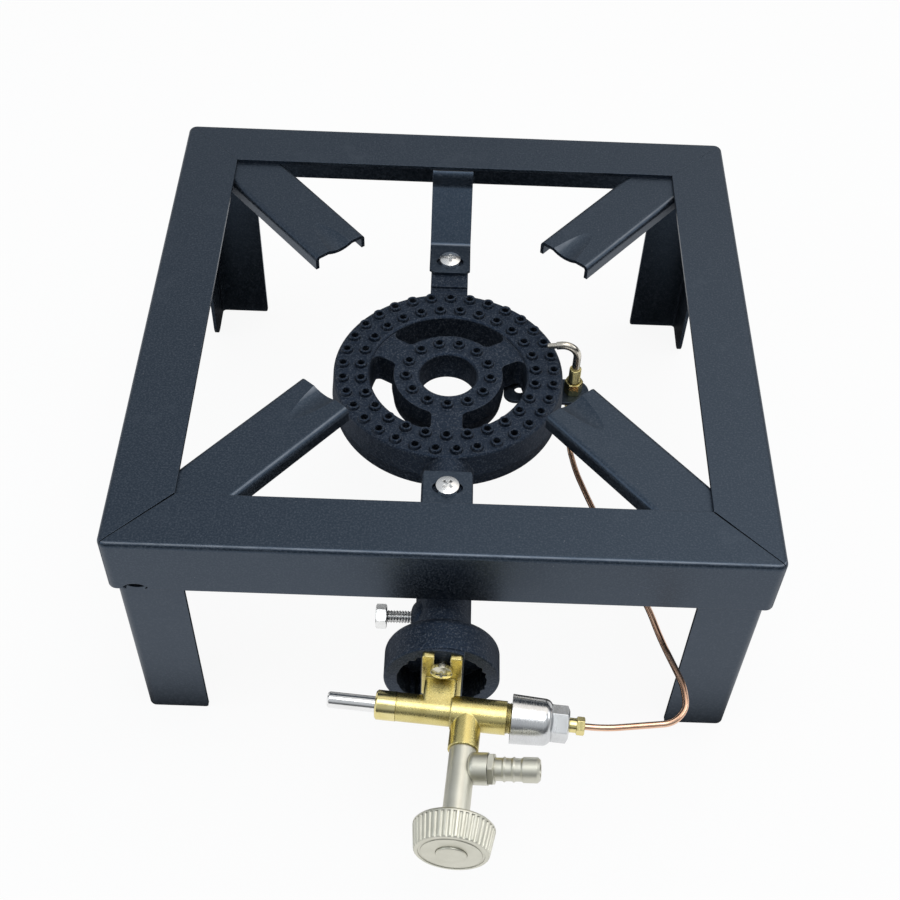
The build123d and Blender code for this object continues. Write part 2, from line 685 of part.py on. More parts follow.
def web():
    """The floor between the rings, left as spokes by arc-shaped gaps with round corners."""
    gaps = Circle(RING_BORE) - Circle(HUB_RADIUS)
    for angle in spoke_angles():
        gaps -= Rot(0, 0, angle) * Pos(RING_RADIUS / 2, 0) * Rectangle(RING_RADIUS, SPOKE_WIDTH)
    gaps = fillet(gaps.vertices(), SPOKE_CORNER)
    floor = Circle(RING_BORE + CAST_WALL) - Circle((HUB_BORE + HUB_RADIUS) / 2) - gaps
    return extrude(Pos(0, 0, HUB_BOTTOM) * floor, HUB_TOP - HUB_BOTTOM)


def spoke_angles():
    """The direction of each spoke, the first towards the neck."""
    return [FRONT_ANGLE + index * 360 / SPOKE_COUNT for index in range(SPOKE_COUNT)]


def rear_lug(reach):
    """The rear screw pad, with a step up from the ring to the bracket's tab."""
    sides = (REAR_OFFSET - REAR_LUG_WIDTH / 2, REAR_OFFSET + REAR_LUG_WIDTH / 2)
    base = PAD_TOP - LUG_DEPTH
    step = RING_RADIUS + PAD_START
    low = block(sides, (RING_RADIUS - CAST_WALL, step), (base, RING_TOP - RING_EDGE / 2))
    return low + block(sides, (step, reach), (base, PAD_TOP))


def front_lug(reach):
    """The front screw pad under the bracket's tab, on a round saddle over the neck."""
    saddle_z = RING_TOP - RING_EDGE / 2 - NECK_RADIUS
    saddle = Pos(NECK_OFFSET, 0, saddle_z) * bar("y", NECK_RADIUS, -reach, CAST_WALL - RING_RADIUS)
    sides = (NECK_OFFSET - FRONT_LUG_WIDTH / 2, NECK_OFFSET + FRONT_LUG_WIDTH / 2)
    return saddle + block(sides, (-reach, FRONT_TAB_TOE - BRACKET_SCREW_Y), (GAS_Z, PAD_TOP))


def port_nipple():
    """One raised flame port with a rounded rim, sunk a little into the plate at the origin."""
    sink = RING_EDGE / 2
    cone = Cone(PORT_FOOT / 2, PORT_TOP / 2, PORT_HEIGHT + sink)
    nipple = Pos(0, 0, (PORT_HEIGHT - sink) / 2) * cone
    nipple -= bar("z", PORT_HOLE / 2, -PORT_HEIGHT, 2 * PORT_HEIGHT)
    rim = nipple.edges().group_by(Axis.Z)[-1]
    wall = (PORT_TOP - PORT_HOLE) / 2
    return fillet(rim, min(PORT_RIM_ROUND, PORT_RIM_SHARE * wall))


def burner_head():
    """The casting: two rings joined by spokes, rear and front lugs, the mixing neck and the ports."""
    reach = BRACKET_SCREW_Y + PAD_OVERHANG
    solid = ring(RING_BORE, RING_RADIUS, RING_BOTTOM, RING_TOP)
    solid += ring(HUB_BORE, HUB_RADIUS, HUB_BOTTOM, HUB_TOP)
    solid += web()
    solid += rear_lug(reach)
    solid += front_lug(reach)
    solid += NECK * bar("y", NECK_RADIUS, BELL_BACK, NECK_OVERLAP - RING_RADIUS)
    boss_face = -(NECK_RADIUS + CLAMP_BOSS_PROUD)
    boss = bar("x", CLAMP_BOSS_RADIUS, boss_face, 0)
    solid += CLAMP * fillet(boss.edges().sort_by(Axis.X)[0], CLAMP_BOSS_ROUND)
    places = [Rot(0, 0, angle) * Pos(radius, 0, level) for angle, radius, level in port_places()]
    nipple = port_nipple()
    hole = bar("z", PORT_HOLE / 2, -CAST_ROOF - RING_EDGE, 0)
    solid = solid + [place * nipple for place in places] - gas_ways()
    solid -= [place * hole for place in places]
    socket = SPIGOT_RADIUS + SPIGOT_CLEARANCE
    solid -= NECK * bar("y", socket, BELL_BACK, BELL_BACK + SPIGOT_LENGTH + END_PLAY)
    solid -= CLAMP * bar("x", CLAMP_BOLT_DIAMETER / 2, 2 * boss_face, -NECK_BORE)
    depth = BRACKET_SCREW_LENGTH - BRACKET_SHEET + THREAD_RUNOUT
    for offset, place in ((REAR_OFFSET, BRACKET_SCREW_Y), (NECK_OFFSET, -BRACKET_SCREW_Y)):
        tapped = bar("z", BRACKET_SCREW_DIAMETER / 2, PAD_TOP - depth, PAD_TOP + PAD_RISE)
        solid -= Pos(offset, place, 0) * tapped
    tapped = bar("z", STRIP_SCREW_DIAMETER / 2, RING_BOTTOM - CAST_FLOOR, RING_BOTTOM + CAST_FLOOR)
    return solid - Pos(STRIP_SCREW_X, PROBE_Y, 0) * tapped


# Venturi bell
def ragged_mouth():
    """The bell's inner outline, a circle with the uneven edge of a rough casting."""
    inside = BELL_RADIUS - BELL_RIM
    count = BELL_POINTS_PER_SCALLOP * BELL_SCALLOPS
    points = []
    for index in range(count):
        turn = 2 * math.pi * index / count
        swell = sum(math.sin(times * turn) for times in BELL_SWELLS) / len(BELL_SWELLS)
        radius = inside + BELL_SCALLOP_HEIGHT * math.sin(BELL_SCALLOPS * turn) * swell
        points.append((radius * math.cos(turn), radius * math.sin(turn)))
    return make_face(Spline(*points, periodic=True))


def venturi_bell():
    """The air cup on the end of the neck: a rim, a bar across it for the valve, and a spigot."""
    throat = SPIGOT_RADIUS - SPIGOT_WALL
    spigot_end = BELL_BACK + SPIGOT_LENGTH
    profile = [
        (spigot_end, throat),
        (spigot_end, SPIGOT_RADIUS),
        (BELL_BACK, SPIGOT_RADIUS),
        (BELL_BACK, BELL_RADIUS),
        (BELL_FACE, BELL_RADIUS),
        (BELL_FACE, throat),
    ]
    bell = turned("y", profile)
    circles = bell.edges().filter_by(GeomType.CIRCLE).sort_by(SortBy.RADIUS)
    bell = fillet(circles[-2:].sort_by(Axis.Y)[-1], BELL_EDGE)
    circles = bell.edges().filter_by(GeomType.CIRCLE).group_by(Axis.Y)[0]
    bell = fillet(circles.sort_by(SortBy.RADIUS)[-1], BELL_FACE_EDGE)
    bell -= across("y", BELL_FACE).location * extrude(ragged_mouth(), BELL_DEPTH - BELL_BACK_WALL)
    bell = NECK * bell
    half = BELL_BAR_WIDTH / 2
    front = BELL_FACE - 2 * BELL_PAD_PROUD
    post = block((-half, half), (front, BELL_FACE + BELL_BAR_DEPTH), (-BELL_RADIUS, BELL_RADIUS))
    cup = bar("y", BELL_RADIUS - BELL_PAD_PROUD, front, BELL_FACE + BELL_BAR_DEPTH)
    bell += Pos(VALVE_OFFSET, 0, GAS_Z) * (post & (Pos(NECK_OFFSET - VALVE_OFFSET, 0, 0) * cup))
    seat = BELL_BAR_WIDTH / 2 + BELL_PAD_PROUD
    ahead = (VALVE_STANDOFF - BELL_DEPTH, VALVE_STANDOFF)
    bell -= VALVE * block((-seat, seat), ahead, (-BELL_RADIUS, BELL_RADIUS))
    through = VALVE_STANDOFF + BELL_BAR_DEPTH + 2 * BELL_PAD_PROUD
    bell -= VALVE * bar("y", BURNER_JET_NOSE + BURNER_JET_ROOM, 0, through)
    return bell - VALVE * Pos(0, 0, VALVE_SCREW_HEIGHT) * bar("y", VALVE_SCREW_DIAMETER / 2, 0, through)


def clamp_bolt():
    """The hexagon bolt through the neck's boss, bearing on the bell's spigot."""
    tip = -(SPIGOT_RADIUS + THREAD_CLEARANCE)
    head_face = -(NECK_RADIUS + CLAMP_BOSS_PROUD + CLAMP_BOLT_SHOWN)
    head = nut_blank("x", CLAMP_BOLT_FLATS, head_face - CLAMP_BOLT_HEAD, head_face, POINT_UP_TURN)
    radius = CLAMP_BOLT_DIAMETER / 2 - THREAD_CLEARANCE
    shank_start = head_face - CLAMP_BOLT_HEAD / 2
    shank = threaded("x", radius, shank_start, tip, CLAMP_BOLT_PITCH, CLAMP_BOLT_THREAD_DEPTH)
    return CLAMP * (head + shank)


# Safety valve
def valve_tongue():
    """The block between the barrel and the fork, with a top that runs off the barrel at a tangent."""
    fork_front = VALVE_STANDOFF - FORK_THICKNESS
    reach = math.hypot(fork_front, VALVE_BLOCK_TOP)
    touch = math.atan2(VALVE_BLOCK_TOP, fork_front) + math.acos(BARREL_RADIUS / reach)
    outline = [
        (0, -BARREL_RADIUS),
        (fork_front, -BARREL_RADIUS),
        (fork_front, VALVE_BLOCK_TOP),
        (BARREL_RADIUS * math.cos(touch), BARREL_RADIUS * math.sin(touch)),
    ]
    points = [(-VALVE_BLOCK_WIDTH / 2, y, z) for y, z in outline]
    tongue = extrude(make_face(Polyline(*points, close=True)), VALVE_BLOCK_WIDTH, dir=(1, 0, 0))
    crown = tongue.faces().sort_by(Axis.Z)[-1]
    return fillet(crown.edges().filter_by(Axis.X, reverse=True), VALVE_BLOCK_EDGE)


def valve_body():
    """The brass body: plunger barrel, magnet chamber, forked outlet block and inlet boss."""
    body = bar("x", BARREL_RADIUS, BARREL_END, CHAMBER_START + BARREL_RADIUS)
    body += bar("x", CHAMBER_RADIUS, CHAMBER_START, CHAMBER_END)
    neck_ends = (CHAMBER_END, CHAMBER_NECK_END)
    body += threaded("x", CHAMBER_NECK_RADIUS, *neck_ends, THREAD_PITCH, THREAD_DEPTH)
    body += valve_tongue()
    fork_sides = (-FORK_WIDTH / 2, FORK_WIDTH / 2)
    fork_ends = (VALVE_STANDOFF - FORK_THICKNESS, VALVE_STANDOFF)
    plate = block(fork_sides, fork_ends, (-FORK_BOTTOM, FORK_TOP))
    plate = fillet(plate.edges().filter_by(Axis.Y), FORK_CORNER)
    slot_sides = (-FORK_SLOT / 2, FORK_SLOT / 2)
    slot = block(slot_sides, (0, 2 * VALVE_STANDOFF), (VALVE_SCREW_HEIGHT, 2 * FORK_TOP))
    slot += Pos(0, 0, VALVE_SCREW_HEIGHT) * bar("y", FORK_SLOT / 2, 0, 2 * VALVE_STANDOFF)
    body += plate - slot
    body += Pos(INLET_POSITION, 0, 0) * bar("y", INLET_RADIUS, -INLET_LENGTH, 0)
    body -= bar("x", BARREL_BORE, BARREL_END, BARREL_BORE_END)
    body -= bar("x", PLUNGER_PIN_RADIUS + RUNNING_CLEARANCE, BARREL_BORE_END, BARREL_BORE_END + GUIDE_WALL)
    body -= bar("x", SEAT_HOLE, BARREL_BORE_END + GUIDE_WALL, SEAT_POSITION)
    body -= bar("x", CHAMBER_BORE, SEAT_POSITION, CHAMBER_NECK_END)
    body -= bar("y", OUTLET_BORE, 0, VALVE_STANDOFF)
    inlet = Pos(INLET_POSITION, 0, 0)
    socket_end = NEEDLE_SPIGOT_LENGTH + END_PLAY - INLET_LENGTH
    body -= inlet * bar("y", NEEDLE_SPIGOT_RADIUS + THREAD_CLEARANCE, -INLET_LENGTH, socket_end)
    return body - inlet * bar("y", INLET_BORE, socket_end, 0)


def valve_fixing_screw():
    """The screw that holds the valve's fork to the bell's bar."""
    screw = pan_screw(VALVE_SCREW_DIAMETER, VALVE_SCREW_LENGTH, VALVE_SCREW_HEAD, VALVE_SCREW_HEAD_HEIGHT)
    return Pos(0, VALVE_STANDOFF - FORK_THICKNESS, VALVE_SCREW_HEIGHT) * Rot(90, 0, 0) * screw


def burner_jet():
    """The gas injector, screwed into the valve's outlet and aimed down the venturi."""
    start = VALVE_STANDOFF - BURNER_JET_LENGTH / 2
    end = VALVE_STANDOFF + BURNER_JET_LENGTH / 2
    thread = OUTLET_BORE - THREAD_CLEARANCE
    well = end - BURNER_JET_NOSE
    profile = [
        (start, thread - BURNER_JET_WALL),
        (start, thread),
        (VALVE_STANDOFF, thread),
        (VALVE_STANDOFF, BURNER_JET_NOSE),
        (well, BURNER_JET_NOSE),
        (end, BURNER_JET_NOSE / 2),
        (end, BURNER_JET_HOLE),
        (well, BURNER_JET_HOLE),
        (well, thread - BURNER_JET_WALL),
    ]
    return turned("y", profile)


# Safety plunger
def plunger_sleeve():
    """The brass bush screwed into the barrel's end, which guides and keeps the plunger."""
    bore = PLUNGER_RADIUS + RUNNING_CLEARANCE
    spigot = BARREL_BORE - THREAD_CLEARANCE
    profile = [
        (SLEEVE_END, bore),
        (SLEEVE_END, SLEEVE_RADIUS - SLEEVE_CHAMFER),
        (SLEEVE_END + SLEEVE_CHAMFER, SLEEVE_RADIUS),
        (BARREL_END, SLEEVE_RADIUS),
        (BARREL_END, spigot),
        (BARREL_END + SLEEVE_SPIGOT, spigot),
        (BARREL_END + SLEEVE_SPIGOT, bore),
    ]
    return turned("x", profile)


def safety_plunger():
    """The steel push rod: a shown stem, a grooved shoulder and a pin that lifts the valve."""
    end = SLEEVE_END - PLUNGER_SHOWN
    shoulder = BARREL_BORE - RUNNING_CLEARANCE
    pin_end = SEAT_POSITION - GUIDE_WALL
    profile = [
        (end, 0),
        (end, PLUNGER_RADIUS - PLUNGER_CHAMFER),
        (end + PLUNGER_CHAMFER, PLUNGER_RADIUS),
        (SHOULDER_START, PLUNGER_RADIUS),
        (SHOULDER_START, shoulder),
        (SHOULDER_END, shoulder),
        (SHOULDER_END, PLUNGER_PIN_RADIUS),
        (pin_end, PLUNGER_PIN_RADIUS),
        (pin_end, 0),
    ]
    middle = (SHOULDER_START + SHOULDER_END) / 2
    half = O_RING_WIRE + END_PLAY
    floor = BARREL_BORE - RUNNING_CLEARANCE - 2 * O_RING_WIRE - END_PLAY
    return turned("x", profile) - tube("x", BARREL_BORE, floor, middle - half, middle + half)


def plunger_o_ring():
    """The gas seal in the plunger's shoulder."""
    middle = (SHOULDER_START + SHOULDER_END) / 2
    centre = BARREL_BORE - RUNNING_CLEARANCE - O_RING_WIRE
    return Pos(middle, 0, 0) * Rot(0, 90, 0) * Torus(centre, O_RING_WIRE)


def plunger_spring():
    """The spring that returns the plunger."""
    radius = (PLUNGER_PIN_RADIUS + BARREL_BORE) / 2
    return coil(radius, SHOULDER_END + SPRING_END_GAP, BARREL_BORE_END - SPRING_END_GAP)


# Flame-failure valve and magnet
def valve_seal():
    """The rubber disc that closes on the seat."""
    start = SEAT_POSITION + END_PLAY
    return tube("x", SEAL_RADIUS, VALVE_STEM_RADIUS + THREAD_CLEARANCE, start, PLATE_START)


def valve_disc():
    """The valve plate with its stem and the armature that the magnet holds."""
    start = SEAT_POSITION - GUIDE_WALL + END_PLAY
    profile = [
        (start, 0),
        (start, VALVE_STEM_RADIUS),
        (PLATE_START, VALVE_STEM_RADIUS),
        (PLATE_START, SEAL_RADIUS),
        (PLATE_END, SEAL_RADIUS),
        (PLATE_END, VALVE_STEM_RADIUS),
        (ARMATURE_START, VALVE_STEM_RADIUS),
        (ARMATURE_START, ARMATURE_RADIUS),
        (ARMATURE_END, ARMATURE_RADIUS),
        (ARMATURE_END, 0),
    ]
    return turned("x", profile)


def valve_spring():
    """The spring that shuts the valve when the flame goes out."""
    radius = (VALVE_STEM_RADIUS + SEAL_RADIUS) / 2
    return coil(radius, PLATE_END + SPRING_END_GAP, CAN_START - SPRING_END_GAP)


def magnet_can():
    """The cup round the magnet, seated in the chamber and held by the cap."""
    outside = CHAMBER_BORE - THREAD_CLEARANCE
    inside = outside - CAN_WALL
    guide = VALVE_STEM_RADIUS + RUNNING_CLEARANCE
    profile = [
        (CAN_START, guide),
        (CAN_START, outside),
        (CAN_END, outside),
        (CAN_END, CORE_RADIUS + THREAD_CLEARANCE),
        (CAN_END - CAN_WALL, CORE_RADIUS + THREAD_CLEARANCE),
        (CAN_END - CAN_WALL, inside),
        (CAN_START + CAN_WALL, inside),
        (CAN_START + CAN_WALL, guide),
    ]
    return turned("x", profile)


def magnet_core():
    """The iron core that holds the armature while the thermocouple is hot."""
    return bar("x", CORE_RADIUS, CORE_START, CAN_END)


def magnet_coil():
    """The winding round the core."""
    inside = CORE_RADIUS + THREAD_CLEARANCE
    return tube("x", inside + COIL_THICKNESS, inside, CORE_START + COIL_INSET, CAN_END - CAN_WALL)


def magnet_cap():
    """The steel cap over the magnet, screwed on the chamber's neck, with a hexagon at its end."""
    thread = CHAMBER_NECK_RADIUS + THREAD_CLEARANCE
    room = CHAMBER_BORE + THREAD_CLEARANCE
    mouth_end = CAP_START + CAP_MOUTH_DEPTH
    neck_end = CHAMBER_NECK_END + END_PLAY
    outside = turned(
        "x",
        [
            (CAP_START, 0),
            (CAP_START, CAP_MOUTH_RADIUS),
            (CAP_SHOULDER, CAP_SHOULDER_RADIUS),
            (CAP_SHOULDER, 0),
        ],
    )
    outside = fillet(outside.edges().filter_by(GeomType.CIRCLE).sort_by(Axis.X)[-1], CAP_SHOULDER_ROUND)
    corner = CAP_HEX_FLATS / math.sqrt(3)
    hex_start = CAP_SHOULDER - CAP_SHOULDER_ROUND
    crown = turned(
        "x",
        [
            (hex_start, 0),
            (hex_start, corner),
            (CAP_END - CAP_HEX_CHAMFER, corner),
            (CAP_END, corner - 2 * CAP_HEX_CHAMFER),
            (CAP_END, 0),
        ],
    )
    cap = outside + (hexagon("x", CAP_HEX_FLATS, hex_start, CAP_END, POINT_UP_TURN) & crown)
    cap -= bar("x", CAP_MOUTH_RADIUS - CAP_MOUTH_WALL, CAP_START, mouth_end)
    cap -= bar("x", thread, mouth_end, neck_end)
    cap -= bar("x", room, neck_end, CAN_END)
    return cap - bar("x", END_NUT_SPIGOT + THREAD_CLEARANCE, CAN_END, CAP_END)


def thermocouple_end_nut():
    """The brass union that screws the thermocouple's lead into the magnet."""
    collar_end = CAP_END + END_NUT_COLLAR_LENGTH
    nut = bar("x", END_NUT_SPIGOT, CAP_END - END_NUT_DEPTH, CAP_END)
    nut += bar("x", END_NUT_COLLAR, CAP_END, collar_end)
    nut += nut_blank("x", END_NUT_FLATS, collar_end, END_NUT_END, POINT_UP_TURN)
    return nut - bar("x", LEAD_DIAMETER / 2 + THREAD_CLEARANCE, CAP_END - END_NUT_DEPTH, END_NUT_END)


# Needle valve, in a frame on the inlet boss's end with +x outward along the knob's axis
def needle_valve_body():
    """The plated tube that holds the needle, with a side neck for the hose barb."""
    body = bar("x", NEEDLE_BARREL_RADIUS, 0, NEEDLE_BARREL_LENGTH)
    body += bar("x", NEEDLE_SPIGOT_RADIUS, -NEEDLE_SPIGOT_LENGTH, 0)
    side = NEEDLE.inverse() * BARB
    neck = bar("x", BARB_NECK_RADIUS, BARB_NECK_START, BARB_NECK_LENGTH)
    body += side * fillet(neck.edges().sort_by(Axis.X)[0], BARB_NECK_ROUND)
    body -= bar("x", NEEDLE_ORIFICE, -NEEDLE_SPIGOT_LENGTH, NEEDLE_ROOM_START)
    body -= bar("x", NEEDLE_ROOM, NEEDLE_ROOM_START, NEEDLE_ROOM_END)
    body -= bar("x", NEEDLE_THREAD_RADIUS + RUNNING_CLEARANCE, NEEDLE_ROOM_END, GLAND_START)
    body -= bar("x", GLAND_RADIUS, GLAND_START, NEEDLE_BARREL_LENGTH)
    body -= side * bar("x", BARB_BORE, 0, BARB_NECK_LENGTH)
    socket = BARB_NECK_LENGTH - BARB_SPIGOT_LENGTH - END_PLAY
    return body - side * bar("x", BARB_SPIGOT_RADIUS + THREAD_CLEARANCE, socket, BARB_NECK_LENGTH)


def needle_stem():
    """The needle: a tapered tip, a threaded length and the shaft that carries the knob."""
    tip = NEEDLE_ROOM_START - NEEDLE_TIP_ENTRY
    thread_end = GLAND_START - NEEDLE_LIFT
    profile = [
        (tip, 0),
        (tip, NEEDLE_TIP_RADIUS),
        (tip + NEEDLE_TIP_LENGTH, NEEDLE_SHAFT_RADIUS),
        (NEEDLE_ROOM_END, NEEDLE_SHAFT_RADIUS),
        (NEEDLE_ROOM_END, NEEDLE_THREAD_RADIUS),
        (thread_end, NEEDLE_THREAD_RADIUS),
        (thread_end, NEEDLE_SHAFT_RADIUS),
        (NEEDLE_END, NEEDLE_SHAFT_RADIUS),
        (NEEDLE_END, 0),
    ]
    tapped = KNOB_SCREW_SEAT - KNOB_SCREW_LENGTH - THREAD_RUNOUT
    return turned("x", profile) - bar("x", KNOB_SCREW_DIAMETER / 2, tapped, NEEDLE_END)


def stem_packing():
    """The packing ring that seals the needle's shaft."""
    inside = NEEDLE_SHAFT_RADIUS + RUNNING_CLEARANCE
    return tube("x", GLAND_RADIUS - THREAD_CLEARANCE, inside, PACKING_START, PACKING_END)


def gland_nut():
    """The screwed plug that presses on the packing."""
    inside = NEEDLE_SHAFT_RADIUS + RUNNING_CLEARANCE
    return tube("x", GLAND_RADIUS - THREAD_CLEARANCE, inside, PACKING_END, NEEDLE_BARREL_LENGTH)


def hose_barb():
    """The hose tail: a screwed spigot, a hexagon collar and a ridged nozzle."""
    collar_end = BARB_NECK_LENGTH + BARB_HEX_LENGTH
    end = collar_end + BARB_LENGTH
    tip_start = end - BARB_TIP_LENGTH
    step = (tip_start - collar_end) / (BARB_RIDGES + 1)
    profile = [(BARB_NECK_LENGTH, 0), (BARB_NECK_LENGTH, BARB_ROOT_RADIUS)]
    for index in range(BARB_RIDGES):
        ridge = collar_end + step * (index + 1)
        profile += [(ridge - BARB_RIDGE_WIDTH / 2, BARB_ROOT_RADIUS), (ridge, BARB_RADIUS)]
        profile += [(ridge + BARB_RIDGE_WIDTH / 2, BARB_ROOT_RADIUS)]
    profile += [
        (tip_start - BARB_RIDGE_WIDTH / 2, BARB_ROOT_RADIUS),
        (tip_start, BARB_RADIUS),
        (end - BARB_TIP_CHAMFER, BARB_RADIUS),
        (end, BARB_RADIUS - BARB_TIP_CHAMFER),
        (end, 0),
    ]
    spigot_start = BARB_NECK_LENGTH - BARB_SPIGOT_LENGTH
    barb = turned("x", profile) + bar("x", BARB_SPIGOT_RADIUS, spigot_start, BARB_NECK_LENGTH)
    barb += nut_blank("x", BARB_FLATS, BARB_NECK_LENGTH, collar_end)
    return barb - bar("x", BARB_BORE, spigot_start, end)


# Control knob
def control_knob():
    """The handwheel: plain back rim, fluted taper, hollow back, ringed face and a seat for its screw."""
    profile = [
        (KNOB_START, 0),
        (KNOB_START, KNOB_BACK_RADIUS - KNOB_BACK_BEVEL),
        (KNOB_START + KNOB_BACK_BEVEL, KNOB_BACK_RADIUS),
        (KNOB_START + KNOB_BACK_RIM, KNOB_BACK_RADIUS),
        (KNOB_END, KNOB_FACE_RADIUS),
        (KNOB_END, 0),
    ]
    knob = turned("x", profile)
    knob = fillet(knob.edges().filter_by(GeomType.CIRCLE).sort_by(Axis.X)[-1], KNOB_FACE_ROUND)
    taper = math.degrees(math.atan2(KNOB_BACK_RADIUS - KNOB_FACE_RADIUS, KNOB_DEPTH - KNOB_BACK_RIM))
    flute_radius = (SERRATION_WIDTH**2 / 4 + SERRATION_DEPTH**2) / (2 * SERRATION_DEPTH)
    flute = Rot(0, taper, 0) * bar("x", flute_radius, 0, 2 * KNOB_DEPTH)
    lift = KNOB_BACK_RADIUS + flute_radius - SERRATION_DEPTH
    start = KNOB_START + KNOB_BACK_RIM
    flutes = []
    for index in range(KNOB_SERRATIONS):
        flutes.append(Rot(index * 360 / KNOB_SERRATIONS, 0, 0) * Pos(start, 0, lift) * flute)
    knob = knob - flutes
    knob -= tube("x", KNOB_HOLLOW_RADIUS, KNOB_HUB_RADIUS, KNOB_START, KNOB_START + KNOB_HOLLOW_DEPTH)
    groove_out = KNOB_RING_RADIUS + KNOB_RING_WIDTH
    knob -= tube("x", groove_out, KNOB_RING_RADIUS, KNOB_END - KNOB_RING_DEPTH, KNOB_END)
    knob -= bar("x", KNOB_CAP_RADIUS + KNOB_CAP_EASE, KNOB_CAP_START, KNOB_END)
    knob -= bar("x", KNOB_SCREW_HEAD / 2 + KNOB_CAP_EASE, KNOB_SCREW_SEAT, KNOB_CAP_START)
    knob -= bar("x", KNOB_SCREW_DIAMETER / 2 + SLOT_CLEARANCE, NEEDLE_END, KNOB_SCREW_SEAT)
    return knob - bar("x", NEEDLE_SHAFT_RADIUS + RUNNING_CLEARANCE, KNOB_START, NEEDLE_END + END_PLAY)


def knob_screw():
    """The screw that holds the knob on its shaft, under the cap."""
    screw = pan_screw(KNOB_SCREW_DIAMETER, KNOB_SCREW_LENGTH, KNOB_SCREW_HEAD, KNOB_SCREW_HEAD_HEIGHT)
    return Pos(KNOB_SCREW_SEAT, 0, 0) * Rot(0, 90, 0) * screw


def knob_cap():
    """The plain button let into the knob's face."""
    button = bar("x", KNOB_CAP_RADIUS, KNOB_CAP_START, KNOB_CAP_START + KNOB_CAP_THICKNESS)
    return fillet(button.edges().sort_by(Axis.X)[-1], KNOB_CAP_ROUND)


# Thermocouple
def thermocouple_bracket():
    """The strip under the ring that holds the probe, with a spare hole."""
    half = STRIP_WIDTH / 2
    strip = block((STRIP_INNER_END, PROBE_X), (-half, half), (-STRIP_SHEET, 0))
    strip = fillet(strip.edges().filter_by(Axis.Z).group_by(Axis.X)[0], STRIP_CORNER)
    strip += Pos(PROBE_X, 0, 0) * bar("z", half, -STRIP_SHEET, 0)
    for place, radius in (
        (PROBE_X, BUSH_RADIUS + THREAD_CLEARANCE),
        (STRIP_SCREW_X, STRIP_SCREW_DIAMETER / 2 + SLOT_CLEARANCE),
        (STRIP_SPARE_HOLE_X, STRIP_SPARE_HOLE / 2),
    ):
        strip -= Pos(place, 0, 0) * bar("z", radius, -STRIP_SHEET, 0)
    return Pos(0, PROBE_Y, RING_BOTTOM) * strip


def thermocouple_bracket_screw():
    """The screw that holds the strip to the underside of the ring."""
    screw = pan_screw(STRIP_SCREW_DIAMETER, STRIP_SCREW_LENGTH, STRIP_SCREW_HEAD, STRIP_SCREW_HEAD_HEIGHT)
    return Pos(STRIP_SCREW_X, PROBE_Y, RING_BOTTOM - STRIP_SHEET) * Rot(180, 0, 0) * screw


def thermocouple_bush():
    """The threaded brass sleeve round the probe's foot."""
    sleeve = threaded("z", BUSH_RADIUS, BUSH_BOTTOM, BUSH_TOP, FINE_PITCH, FINE_DEPTH)
    sleeve -= bar("z", PROBE_RADIUS + THREAD_CLEARANCE, BUSH_TOP - PROBE_DEPTH, BUSH_TOP)
    sleeve -= bar("z", LEAD_DIAMETER / 2 + THREAD_CLEARANCE, BUSH_BOTTOM, BUSH_BOTTOM + LEAD_SEAT)
    return Pos(PROBE_X, PROBE_Y, 0) * sleeve


def thermocouple_lock_nuts():
    """A tall nut above and a thin nut below the strip."""
    underside = RING_BOTTOM - STRIP_SHEET
    nuts = []
    for start, end in (
        (RING_BOTTOM, RING_BOTTOM + UPPER_NUT_HEIGHT),
        (underside - LOCK_NUT_HEIGHT, underside),
    ):
        nut = nut_blank("z", LOCK_NUT_FLATS, start, end)
        nut -= bar("z", BUSH_RADIUS + THREAD_CLEARANCE, start, end)
        nuts.append(Pos(PROBE_X, PROBE_Y, 0) * nut)
    return nuts


def thermocouple_probe():
    """The hot tip: a tube that rises beside the ring and bends over it."""
    foot = Vector(PROBE_X, PROBE_Y, BUSH_TOP - PROBE_DEPTH)
    elbow = Vector(PROBE_X, PROBE_Y, RING_BOTTOM + PROBE_RISE)
    tip = elbow + Vector(-PROBE_REACH, PROBE_RADIUS, -PROBE_DIP)
    sheath_end = tip + (elbow - tip).normalized() * PROBE_TIP_LENGTH
    floor = Plane(origin=foot, z_dir=(0, 0, 1))
    sheath_path = FilletPolyline(foot, elbow, sheath_end, radius=PROBE_BEND)
    sheath = sweep(floor * Circle(PROBE_RADIUS), path=sheath_path)
    point_path = FilletPolyline(foot, elbow, tip, radius=PROBE_BEND)
    point = sweep(floor * Circle(PROBE_TIP_RADIUS), path=point_path)
    return sheath + point + Pos(*tip) * Sphere(PROBE_TIP_RADIUS)


def lead_route():
    """The lead's corners: down from the probe, forward under the front rail and round to the magnet."""
    bush_foot = Pos(PROBE_X, PROBE_Y, BUSH_BOTTOM)
    places = [bush_foot * Pos(*corner) for corner in ((0, 0, LEAD_SEAT), *LEAD_FROM_PROBE)]
    valve_corners = (*LEAD_TO_VALVE, (LEAD_STRAIGHT_END, 0, 0), (CAP_END, 0, 0))
    places += [VALVE * Pos(*corner) for corner in valve_corners]
    return [place.position for place in places]


def lead_radii(route):
    """The bend at each corner, as large as its two runs allow."""
    radii = []
    for before, corner, after in zip(route, route[1:], route[2:]):
        arrive = corner - before
        leave = after - corner
        half_turn = math.radians(arrive.get_angle(leave)) / 2
        radii.append(BEND_PER_RUN * min(arrive.length, leave.length) / math.tan(half_turn))
    return radii


def thermocouple_lead():
    """The copper capillary from the probe to the magnet."""
    route = lead_route()
    radii = lead_radii(route)
    path = FilletPolyline(*route, radius=radii)
    section = Plane(origin=path @ 0, z_dir=path % 0) * Circle(LEAD_DIAMETER / 2)
    lead = sweep(section, path=path)
    area = math.pi * LEAD_DIAMETER**2 / 4
    print("lead length", round(path.length, 1), "volume over section", round(lead.volume / area, 1))
    print("lead radii", [round(radius, 1) for radius in radii])
    return lead


